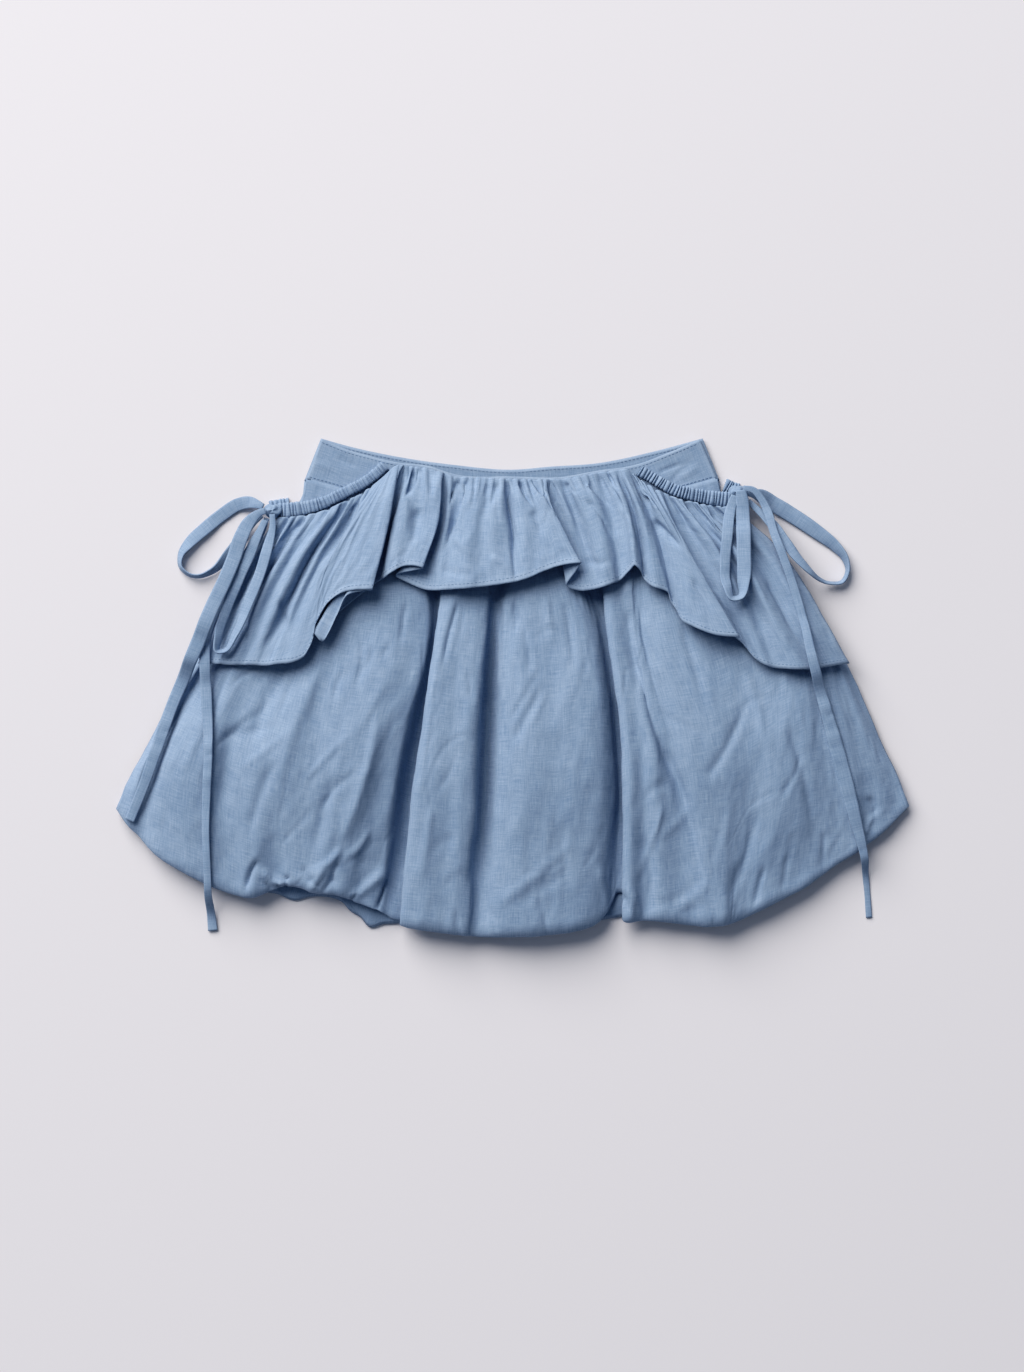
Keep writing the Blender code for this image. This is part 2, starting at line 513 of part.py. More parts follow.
def skirt_front_points():
    """The front of the skirt: its folds from the yoke to the hem, the rolled hem and the tuck."""
    seam = yoke_seam(YOKE_FRONT_SPAN, len(SKIRT_FOLDS)) - (0.0, SEAM_STEP)
    columns = []
    for place, fold in zip(seam, SKIRT_FOLDS):
        level = YOKE_LEVEL_FRONT + SEAM_LIFT
        top = np.array([place[0], place[1], level + SEAM_FOLD_SHARE * (fold.high_z - level)])
        high = np.array([fold.high_x, HIGH_LINE_Y, fold.high_z])
        side = top + (high - top) * SIDE_SHARES
        low = np.array([fold.low_x, LOW_LINE_Y, fold.low_z])
        hem = np.array([fold.hem_x, fold.hem_y])
        heading = (hem - low[:2]) / np.linalg.norm(hem - low[:2])
        under = min(HEM_UNDER_LEVEL, fold.hem_z - HEM_WALL_ROOM)
        roll = min(HEM_ROLL, ROLL_FOR_HEIGHT * (fold.hem_z - under))
        turn = np.append(hem - heading * roll, fold.hem_z)
        line = curve_through(SKIRT_STATIONS, (top, side, high, low, turn), SKIRT_STEPS)
        columns.append(np.concatenate([line, hem_roll(hem, heading, fold.hem_z, under, roll)]))
    return np.array(columns)


def hem_roll(hem, heading, over, under, roll):
    """The rolled lower edge: half a turn round, then the tuck back inside."""
    middle, half = (over + under) / 2.0, (over - under) / 2.0
    points = []
    for step in range(1, ROLL_STEPS + 1):
        angle = math.pi * (0.5 - step / ROLL_STEPS)
        place = hem - heading * roll * (1.0 - math.cos(angle))
        points.append((place[0], place[1], middle + half * math.sin(angle)))
    place = hem - heading * (roll + HEM_TUCK)
    points.append((place[0], place[1], under))
    return np.array(points)


def waist_band(edge, level, arch, span):
    """A curved band under a waist edge: its top edge, and its seam a yoke's depth below."""
    top = line_points(edge, YOKE_COLUMNS + 1)
    along = np.linspace(0.0, 1.0, YOKE_COLUMNS + 1)
    seam = yoke_seam(span, YOKE_COLUMNS + 1)
    lift = level + arch * np.sin(math.pi * along)
    rows = []
    for share in YOKE_STEPS:
        place = top * (1.0 - share) + seam * share
        rows.append(np.column_stack([place, lift]))
    return np.array(rows).transpose(1, 0, 2)


def yoke_seam(span, count):
    """The seam between yoke and skirt, a shallow arc that sags in the middle."""
    along = np.linspace(0.0, 1.0, count)
    x = span.left_x + (span.right_x - span.left_x) * along
    y = span.left_y + (span.right_y - span.left_y) * along
    return np.column_stack([x, y - span.sag * np.sin(math.pi * along)])


def skirt_back_points():
    """The back of the skirt, flat on the floor and over the back ruffle, its hem turned in."""
    seam = yoke_seam(YOKE_BACK_SPAN, BACK_COLUMNS + 1) - (0.0, SEAM_STEP)
    hem = line_points(BACK_HEM, BACK_COLUMNS + 1)
    rest = WALL / 2
    raised = THIN_WALL + SEAM_GAP + 2 * FLOOR_GAP
    columns = []
    for start, end in zip(seam, hem):
        heading = (end - start) / np.linalg.norm(end - start)
        flat = []
        for share in BACK_STEPS:
            place = start + (end - heading * BACK_HEM_RISE - start) * share
            lift = raised * ease((place[1] - BACK_CLIMB_Y) / BACK_CLIMB_RUN)
            flat.append((place[0], place[1], rest + lift))
        edge = (end[0], end[1], rest + BACK_HEM_RISE / 2)
        over = end - heading * BACK_HEM_RISE
        inner = end - heading * BACK_HEM_FOLD
        turned = ((over[0], over[1], rest + BACK_HEM_RISE), (inner[0], inner[1], rest + BACK_HEM_RISE))
        columns.append(flat + [edge] + list(turned))
    return np.array(columns)


def back_ruffle_points():
    """The ruffle behind, flat between the floor and the skirt."""
    top = line_points(BACK_RUFFLE_TOP, BACK_COLUMNS + 1)
    hem = line_points(BACK_RUFFLE_HEM, BACK_COLUMNS + 1)
    level = np.full(BACK_COLUMNS + 1, THIN_WALL / 2 + FLOOR_GAP)
    rows = [np.column_stack([top * (1 - s) + hem * s, level]) for s in BACK_RUFFLE_STEPS]
    return np.array(rows).transpose(1, 0, 2)


def ruffle_points(cover, surface):
    """The ruffle in front, each fold standing off the cloth under it by its own rise."""
    columns = []
    for fold in RUFFLE_FOLDS:
        rise = RUFFLE_TOP_SHARE * fold.mid_rise - RUFFLE_TOP_DROP
        top = (fold.top_x, height_on(RUFFLE_TOP, fold.top_x), rise)
        middle = (fold.mid_x, fold.mid_y, fold.mid_rise)
        end = (fold.hem_x, fold.hem_y, fold.hem_rise)
        columns.append(curve_through(RUFFLE_STATIONS, (top, middle, end), RUFFLE_STEPS))
    points = np.array(columns)
    points[..., 2] += cover.read(surface, points[..., 0], points[..., 1]) + WALL / 2 + SEAM_GAP
    return points


def casing(name, edge, ribs, level_under, material, collection):
    """An elastic casing: a flat tube round the elastic, ruched into ribs across its length."""
    count = 2 * ribs + 1
    middle = line_points(edge, count)
    ahead = np.gradient(middle, axis=0)
    ahead /= np.linalg.norm(ahead, axis=1)[:, None]
    side = np.column_stack([-ahead[:, 1], ahead[:, 0]])
    level = level_under(middle) + SEAM_GAP + CASING_LEVEL / 2
    shape = bmesh.new()
    rings = []
    for step in range(count):
        swell = RIB_HEIGHT * (step % 2)
        ring = []
        for corner in range(CASING_CORNERS):
            angle = 2 * math.pi * (corner + 0.5) / CASING_CORNERS
            across = math.cos(angle) * (CASING_WIDTH / 2 + RIB_SPREAD * swell)
            upward = math.sin(angle) * (CASING_LEVEL / 2 - RIB_HEIGHT / 2)
            if upward > 0:
                upward += swell
            place = middle[step] + side[step] * across
            ring.append(shape.verts.new((place[0] * MM, place[1] * MM, (level[step] + upward) * MM)))
        rings.append(ring)
    for near, far in zip(rings, rings[1:]):
        for corner in range(CASING_CORNERS):
            after = (corner + 1) % CASING_CORNERS
            shape.faces.new((near[corner], near[after], far[after], far[corner]))
    shape.faces.new(rings[0][::-1])
    shape.faces.new(rings[-1])
    bmesh.ops.recalc_face_normals(shape, faces=shape.faces)
    return add_object(name, shape, material, collection)


def ribbon_points(route, seat, cover):
    """A tie's surface: across its width, along its route, on whatever lies under it."""
    places = np.array([(point.x, point.y, point.width, point.roll) for point in route], float)
    lengths = run_lengths(places[:, :2])
    count = max(8, int(round(lengths[-1] / RIBBON_SPACING)) + 1)
    path = curve_through(lengths, places, np.linspace(0.0, lengths[-1], count))
    ahead = np.gradient(path[:, :2], axis=0)
    ahead /= np.linalg.norm(ahead, axis=1)[:, None]
    side = np.column_stack([-ahead[:, 1], ahead[:, 0]])
    width = path[:, 2]
    roll = np.radians(path[:, 3])
    surface = cover.widened(TIE_REACH, MAP_CELL)
    ground = cover.read(surface, path[:, 0], path[:, 1])
    for _ in range(2):
        eased = np.convolve(np.pad(ground, 1, "edge"), TIE_EASING, "valid")
        ground = np.maximum(ground, eased)
    level = ground + seat.lift + TIE_WALL / 2 + np.sin(roll) * width / 2
    knots = np.array((LEFT_KNOT, RIGHT_KNOT))
    away = np.linalg.norm(path[:, None, :2] - knots, axis=2).min(axis=1)
    free = ease((away - KNOT_SIZE[0] / 2) / TIE_RISE_RUN)
    level = seat.end_level * (1.0 - free) + level * free
    rows = []
    for share in RIBBON_ROWS:
        flat = side * (np.cos(roll) * width * share)[:, None]
        rise = np.sin(roll) * width * share
        rows.append(np.column_stack([path[:, :2] + flat, level + rise]))
    return np.array(rows).transpose(1, 0, 2)[:, ::-1]


def knot(name, centre, material, collection):
    """The knot of a bow: a short soft bead over the crossing of the ties."""
    shape = bmesh.new()
    bmesh.ops.create_uvsphere(shape, u_segments=12, v_segments=8, radius=0.5)
    for vertex in shape.verts:
        vertex.co.x = (centre[0] + vertex.co.x * KNOT_SIZE[0]) * MM
        vertex.co.y = (centre[1] + vertex.co.y * KNOT_SIZE[1]) * MM
        vertex.co.z = (KNOT_LEVEL + vertex.co.z * KNOT_SIZE[2]) * MM
    return add_object(name, shape, material, collection)


def main():
    """Build the whole skirt, from the floor up."""
    clear_scene()
    collection = bpy.data.collections.new("elastic_waist_skirt")
    bpy.context.scene.collection.children.link(collection)
    front_cloth = cloth_material("chambray_front", CHAMBRAY)
    back_cloth = cloth_material("chambray_back", CHAMBRAY_BACK)
    tie_cloth = cloth_material("chambray_tie", CHAMBRAY_TIE)

    cover = HeightMap()
    layers = (
        ("ruffle_back", back_ruffle_points(), THIN_WALL, back_cloth),
        ("skirt_back", skirt_back_points(), WALL, back_cloth),
        ("yoke_back", waist_band(WAIST_BACK, YOKE_LEVEL_BACK, 0.0, YOKE_BACK_SPAN), WALL, back_cloth),
        ("yoke_front", waist_band(WAIST_FRONT, YOKE_LEVEL_FRONT, YOKE_ARCH, YOKE_FRONT_SPAN),
         WALL, front_cloth),
        ("skirt_front", skirt_front_points(), WALL, front_cloth),
    )
    for name, points, wall, material in layers:
        sheet(name, points, wall, material, collection)
        cover.add(points, wall / 2)

    surface = cover.widened(RUFFLE_REACH, RUFFLE_SOFTEN)
    ruffle = ruffle_points(cover, surface)
    sheet("ruffle_front", ruffle, WALL, front_cloth, collection)

    def on_front(places):
        return cover.read(surface, places[:, 0], places[:, 1])

    def on_floor(places):
        return np.zeros(len(places))

    casing("casing_left", CASING_LEFT, CASING_RIBS, on_front, front_cloth, collection)
    casing("casing_right", CASING_RIGHT, CASING_RIBS, on_front, front_cloth, collection)
    casing("casing_back_left", CASING_BACK_LEFT, SHORT_CASING_RIBS, on_floor, back_cloth, collection)
    casing("casing_back_right", CASING_BACK_RIGHT, SHORT_CASING_RIBS, on_floor, back_cloth, collection)
    cover.add(ruffle, WALL / 2)

    for name, route in TIES.items():
        points = ribbon_points(route, TIE_SEATS[name], cover)
        sheet(name, points, TIE_WALL, tie_cloth, collection)
        cover.add(points, TIE_WALL / 2)
    knot("knot_left", LEFT_KNOT, tie_cloth, collection)
    knot("knot_right", RIGHT_KNOT, tie_cloth, collection)


main()
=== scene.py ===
"""Looks of the light chambray bubble skirt that lies flat on its back.

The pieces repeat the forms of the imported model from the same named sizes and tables, in
millimetres, with finer folds, creases, hems, stitching and weave. MM turns them into metres.
"""

import math
from collections import namedtuple

import bmesh
import bpy
import numpy as np
from mathutils import Matrix, Vector, noise


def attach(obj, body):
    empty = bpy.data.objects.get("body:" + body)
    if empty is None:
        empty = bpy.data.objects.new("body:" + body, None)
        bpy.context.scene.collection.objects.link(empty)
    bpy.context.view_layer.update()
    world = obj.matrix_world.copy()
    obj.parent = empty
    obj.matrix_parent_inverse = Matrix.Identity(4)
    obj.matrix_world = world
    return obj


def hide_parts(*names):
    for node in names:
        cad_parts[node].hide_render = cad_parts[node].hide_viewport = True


bl_info = {
    "name": "Laid-out bubble skirt",
    "version": (1, 0, 0),
    "blender": (4, 5, 0),
    "location": "View3D > Sidebar > Skirt",
    "description": "Builds a flat-laid bubble skirt with a ruffle, ruched casings and side ties",
    "category": "Object",
}

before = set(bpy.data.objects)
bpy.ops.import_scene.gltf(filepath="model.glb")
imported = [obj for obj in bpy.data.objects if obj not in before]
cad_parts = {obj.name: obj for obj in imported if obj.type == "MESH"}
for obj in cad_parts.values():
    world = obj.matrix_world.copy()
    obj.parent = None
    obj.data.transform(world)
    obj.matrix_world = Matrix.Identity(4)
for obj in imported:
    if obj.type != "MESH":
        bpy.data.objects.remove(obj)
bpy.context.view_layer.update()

MM = 0.001

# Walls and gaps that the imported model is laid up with
WALL = 1.6
THIN_WALL = 1.2
SEAM_GAP = 0.3
FLOOR_GAP = 0.05
SEAM_STEP = 0.6

# The yokes: their levels, how much the front one arches, and how far they lap over the skirt,
# rise there, and from which share of their depth
YOKE_LEVEL_BACK = 3.0
YOKE_LEVEL_FRONT = 5.6
YOKE_ARCH = 1.6
YOKE_LAP = 1.6
YOKE_LAP_RISE = 0.2
YOKE_LAP_FROM = 0.8

# The front of the skirt: its rise over the yoke's level, how much of each fold's height it has
# at the seam, the two lines that its folds cross, how far it has come towards the high one at its
# second station, where its five stations stand, and the roll, tuck and underside of its hem
FRONT_RISE = 0.4
FRONT_FOLD_SHARE = 0.1
HIGH_LINE_Y = 70.0
LOW_LINE_Y = -60.0
SIDE_SHARES = (0.05, 0.15, 0.15)
SKIRT_STATIONS = (0.0, 0.04, 0.25, 0.6, 0.9)
HEM_ROLL = 12.5
HEM_ROLL_SHARE = 1.3
HEM_TUCK = 22.0
HEM_UNDER_LEVEL = 10.4
HEM_WALL_ROOM = 4.6

# The back of the skirt: how its rows crowd, how far its sides lag behind them, where it climbs
# onto the back ruffle, and how deep and high its hem is turned in
BACK_CROWDING = 0.9
BACK_ROW_SHARES = (0.0, 0.055, 0.16, 1.0)
BACK_SIDE_SHARES = (0.0, 0.01, 0.16, 1.0)
BACK_STEP_Y = 4.0
BACK_STEP_RUN = 34.0
BACK_HEM_FOLD = 26.0
BACK_HEM_RISE = 2.6

# The front ruffle: its rise at its top edge, over the casings and early in each fold, and how
# widely and softly it bridges the cloth under it
RUFFLE_TOP_SHARE = 0.14
RUFFLE_TOP_DROP = 0.3
RUFFLE_CASED_RISE = 1.2
RUFFLE_CASED_X = 84.0
RUFFLE_CASED_RUN = 20.0
RUFFLE_EARLY = 0.17
RUFFLE_EARLY_SHARE = 0.72
RUFFLE_REACH = 9.0
RUFFLE_SOFTEN = 6.0

# The elastic casings: their width and its flare towards the knots, how far they sink into the
# cloth, their height and section, and how their ribs shift, vary, slant, lean, dip and swell
CASING_WIDTH = 9.3
CASING_FLARE = 3.6
CASING_FLARE_RUN = 70.0
CASING_SINK = 1.1
CASING_LEVEL = 3.6
CASING_CORNERS = 20
CASING_FLATNESS = 0.6
RIB_STEPS = 8
RIB_SHIFT = 0.28
RIB_HEIGHTS = (0.65, 1.15)
RIB_SLANT = 0.5
RIB_LEAN = 1.2
RIB_ROUNDNESS = 0.4
RIB_DIP_ACROSS = 0.8
RIB_SWELL_ACROSS = 1.2
RIB_DIP = 2.1
RIB_SWELL = 3.9

# The ties: how they bridge what they lie on, their way down from the knots, their wall in the
# model and as it shows, and their section
TIE_REACH = 9.0
TIE_BRIDGING = 40
TIE_SOFTENING = 12
TIE_RISE_RUN = 26.0
TIE_WALL = 1.6
TIE_CLOTH = 1.1
TIE_CROWN = 0.35
TIE_COLUMNS = 9

# Turned bands and rows of stitches: how far each lies from its edge, how much of the front
# yoke's seam shows its stitches at each end, and how far apart and thick the stitches are
SELVAGE = 3.0
RUFFLE_SELVAGE = 4.0
WAIST_BAND = 3.2
BAND_STEP = 1.2
RUFFLE_STITCH = 4.0
WAIST_STITCH = 2.6
SEAM_STITCH = 2.4
STITCHED_CORNERS = 9
STITCH_PITCH = 1.3
THREAD = 0.6

# How creases reach out and fade at their two ends, how gathers open out and deepen from their
# seam, and the roughness, step, octaves, offset and gain of the noise in crumples
CREASE_STEPS = 25
CREASE_REACH = 4.0
CREASE_START = 0.22
CREASE_END = 0.4
GATHER_SPREAD = 0.018
GATHER_AT_SEAM = 0.55
GATHER_DEEPENING = 9.0
RIDGES = (0.9, 2.1, 4, 0.9, 1.8)

# Where a sheet is held from being wavy, in rows from its seams, and how far a step across the
# ruffle has to go before its cloth is open and no longer folded on itself
SEAM_HELD_ROWS = 8.0
HEM_HELD_ROWS = 6.0
HEM_EASED_ROWS = 14.0
GATHER_HELD_ROWS = 6.0
FOLDED_STEP = 0.1
OPENING_STEP = 0.6
FOLDED_SHARE = 0.35

# How thick the sheets show at their hems, as a wall or times the cloth, and the share of that
# which is left away from the hems
BACK_WALL = 0.98 * WALL
BACK_THIN = 0.9
YOKE_LAYERS = 1.5
YOKE_THIN = 0.7
RUFFLE_LAYERS = 1.15
RUFFLE_THIN = 0.75

# The weave: its noises, each with its length across and along the cloth in metres and its detail,
# which are slubs of the warp, slubs of the weft, specks of dye and clouds of dye, then how much
# the yarns' crossing changes the colour round its middle and the height, and how rough it is
WEAVE_NOISES = (
    (0.0007, 0.016, 2.0),
    (0.013, 0.0007, 2.0),
    (0.0016, 0.0016, 3.0),
    (0.03, 0.045, 3.0),
)
WEAVE_CONTRAST = 0.16
WEAVE_MIDDLE = 0.5
WEAVE_RELIEF = 0.35
WEAVE_ROUGHNESS = 0.86
SLUB_SHEEN = -0.2

# The pressed creases: the noises that bend them and part them into patches, how far they bend,
# how they stretch across and along, and where their lines and their patches fade in
BEND_NOISE = (0.06, 0.08, 0.0)
PATCH_NOISE = (0.06, 0.09, 1.0)
PRESSED_BEND = 0.02
PRESSED_STRETCH = (0.7, 0.4, 1.0)
PRESSED_LINES = (0.0, 0.08)
PRESSED_PATCHES = (0.42, 0.68)

# How deep the bumps of the pressed creases and of the weave are, in metres
PRESSED_BUMP = 0.0009
WEAVE_BUMP = 0.0002
# How uneven the dye of each kind of cloth is, and how strong its bumps are
MOTTLE_AND_BUMP = {
    "front": (0.22, 0.35),
    "back": (0.2, 0.3),
    "tie": (0.18, 0.3),
    "thread": (0.0, 0.0),
}

# The height map: its cells and its reach from the middle
MAP_CELL = 1.5
MAP_HALF_X = 372.0
MAP_HALF_Y = 240.0

# The stage: one pixel of the photograph and what its longer side shows, in metres, the camera's
# sensor in millimetres, half the floor's width and how far it lies below the cloth, in metres,
# the lamp, and the colour of the light from all round
PIXEL = 0.00085
PHOTO_SPAN = 1.1662
SENSOR = 36.0
FLOOR_HALF = 4.0
FLOOR_DROP = 0.0003
LAMP_PLACE = (-3.7, 5.5, 5.0)
LAMP_SIZE = 8.0
LAMP_COLOUR = (1.0, 0.985, 0.955)
ROOM_COLOUR = (0.68, 0.81, 1.0, 1.0)
# The camera's response: how much of each share of full light shows, deeper in the shade
TONE_CURVE = ((0.02, 0.006), (0.05, 0.026), (0.1, 0.07), (0.2, 0.172), (0.35, 0.34), (0.6, 0.605))

# The start, middle and end of a way
HALVES = (0.0, 0.5, 1.0)


def table(kind, *rows):
    """Rows whose columns have the names of this kind."""
    return tuple(kind(*row) for row in rows)


# The top edge of the waist as it lies, from the left corner to the right one
Edge = namedtuple("Edge", "x y")
WAIST_BACK = table(
    Edge,
    (-163, 211), (-142, 205), (-101, 196), (-50, 188.5), (0, 184.5), (31, 187), (72, 190),
    (120, 200), (161, 211),
)
WAIST_FRONT = table(
    Edge,
    (-162.5, 210.5), (-142, 202), (-120, 195.5), (-101, 191), (-70, 187), (-50, 180.5), (0, 178.5),
    (40, 178), (72, 183.5), (104, 188.5), (130, 198), (158.5, 210),
)

# The seam of each yoke, from its left end to its right one, and how far it sags between them
YokeSpan = namedtuple("YokeSpan", "left_x left_y right_x right_y sag")
YOKE_FRONT_SPAN = YokeSpan(-175.0, 178.0, 173.0, 178.5, 32.0)
YOKE_BACK_SPAN = YokeSpan(-177.0, 177.0, 175.0, 177.5, 31.0)

# Where the top of the ruffle runs: on the left casing, along the waist and on the right casing
CASING_LEFT = table(
    Edge,
    (-198.6, 149.5), (-185, 150.5), (-170, 153), (-158, 157), (-145, 163.5), (-130, 171),
    (-118, 179), (-108.5, 187.5),
)
CASING_RIGHT = table(
    Edge,
    (107, 183.5), (115, 179), (125, 173), (138, 166.5), (150, 163.5), (165, 160.5), (175, 159.3),
    (184.3, 158.7),
)
CASING_BACK_LEFT = table(Edge, (-206, 151.5), (-198, 153.2), (-189.5, 154.5))
CASING_BACK_RIGHT = table(Edge, (179.5, 171), (185, 168.5), (191, 166.5))
RUFFLE_TOP = table(
    Edge,
    (-200, 143.5), (-185, 144.5), (-170, 146.5), (-155, 151), (-142, 157.5), (-130, 163),
    (-118, 171), (-108, 179.5), (-99, 188.5), (-70, 185.5), (-50, 178.5), (0, 176.5), (40, 176),
    (72, 182), (97, 185), (103, 178.5), (122, 167), (138, 160), (152, 157), (170, 153.5),
    (187, 152.5),
)

# The skirt's folds as they lie, a row for each crest or trough from the left edge to the right
# one: where it crosses the high line and the low line, where it meets the hem, and its height
# at those three places
SkirtFold = namedtuple("SkirtFold", "high_x low_x hem_x hem_y high_z low_z hem_z")
SKIRT_FOLDS = table(
    SkirtFold,
    (-239, -317, -336, -103, 5.0, 7.0, 10.0),
    (-233, -309, -326, -117, 9.0, 15.5, 13.0),
    (-229, -302, -318, -125, 8.0, 11.5, 11.0),
    (-221, -289, -303, -141, 12.5, 20.0, 17.0),
    (-206, -264, -272, -160, 15.5, 26.5, 21.0),
    (-190, -241, -243, -173, 15.0, 24.5, 19.0),
    (-172, -212, -222, -178, 18.0, 31.5, 23.0),
    (-160, -192, -204, -172, 18.5, 33.0, 17.5),
    (-147, -174, -187, -168, 18.0, 32.0, 22.0),
    (-130, -153, -167, -174, 19.5, 34.5, 24.0),
    (-106, -129, -147, -176.5, 21.0, 36.5, 25.0),
    (-86, -111, -133, -182, 19.5, 33.0, 18.0),
    (-71, -95.5, -113, -190, 16.5, 28.0, 15.0),
    (-67, -90.5, -106.5, -194, 9.0, 10.0, 10.0),
    (-63.5, -86, -101.5, -196.5, 5.5, 3.4, 8.0),
    (-56, -73, -89, -199, 5.5, 3.4, 8.0),
    (-55.5, -72.5, -88.5, -200, 10.5, 12.0, 12.0),
    (-60, -79.3, -94, -201, 16.5, 27.0, 18.5),
    (-61, -80.7, -95, -201, 19.5, 31.0, 20.5),
    (-57.5, -75.5, -91, -202.5, 22.5, 36.0, 23.0),
    (-52, -68, -78, -205, 24.0, 37.0, 26.0),
    (-41, -52, -62, -207, 22.5, 35.5, 25.0),
    (-29, -39, -48, -209, 22.5, 36.0, 25.5),
    (-22.5, -31, -39, -210, 19.5, 32.0, 23.5),
    (-19.5, -28, -35.5, -210, 11.0, 15.0, 19.0),
    (-15.5, -23.5, -30.5, -210.5, 7.5, 8.0, 17.0),
    (-11, -17.5, -24.5, -210.5, 11.0, 15.0, 18.5),
    (-5, -8, -16, -210.5, 19.5, 29.5, 23.0),
    (6, 7, 6, -210.5, 23.0, 36.5, 27.0),
    (32, 35, 32, -208.5, 22.5, 36.0, 26.0),
    (51, 56, 52, -206, 22.0, 36.5, 25.5),
    (60, 75, 69, -201, 18.5, 32.5, 21.0),
    (65.5, 83, 78, -192, 12.5, 22.5, 15.5),
    (70, 86.5, 84, -182, 7.5, 9.5, 10.0),
    (74, 89, 88, -174, 6.5, 5.5, 8.5),
    (82, 97, 97, -178, 6.5, 5.5, 8.5),
    (82.5, 98, 98, -186, 10.5, 12.0, 12.0),
    (78, 92.5, 93.2, -194, 16.0, 26.0, 17.0),
    (77.5, 92, 93.3, -197, 19.5, 31.0, 20.5),
    (82, 97.5, 98, -198.5, 22.5, 35.5, 23.0),
    (92, 108, 109, -197, 20.5, 33.0, 17.0),
    (100, 118, 124, -198, 21.5, 35.0, 24.5),
    (106, 134, 151, -201.5, 19.0, 30.5, 22.0),
    (116, 150, 165, -202, 22.5, 36.5, 26.0),
    (142, 176, 178, -200.5, 22.0, 36.0, 25.0),
    (176, 201, 191, -197, 19.0, 31.5, 21.0),
    (204, 224, 213, -187, 18.0, 33.0, 23.0),
    (224, 250, 246, -170, 16.0, 29.0, 20.0),
    (232, 267, 275, -149, 13.0, 22.5, 15.0),
    (238, 281, 291, -139, 13.0, 22.0, 16.0),
    (242, 292, 301, -132, 11.0, 18.5, 11.5),
    (247, 304, 315, -121, 10.5, 15.5, 13.0),
    (253, 319, 336, -101, 5.0, 7.0, 10.0),
)

# The back of the skirt under them: its edge from the left tip round the hem to the right tip
BACK_HEM = table(
    Edge,
    (-334, -102), (-302, -137), (-262, -160), (-215, -173), (-200, -175), (-186, -180.5),
    (-172, -177.5), (-154, -178.5), (-145, -182), (-138, -189.5), (-129, -195), (-121, -203.5),
    (-111, -200.5), (-100, -200), (-80, -199), (-50, -203), (0, -205), (50, -202), (96, -194),
    (150, -196), (196, -188), (244, -166), (292, -134), (334, -100),
)

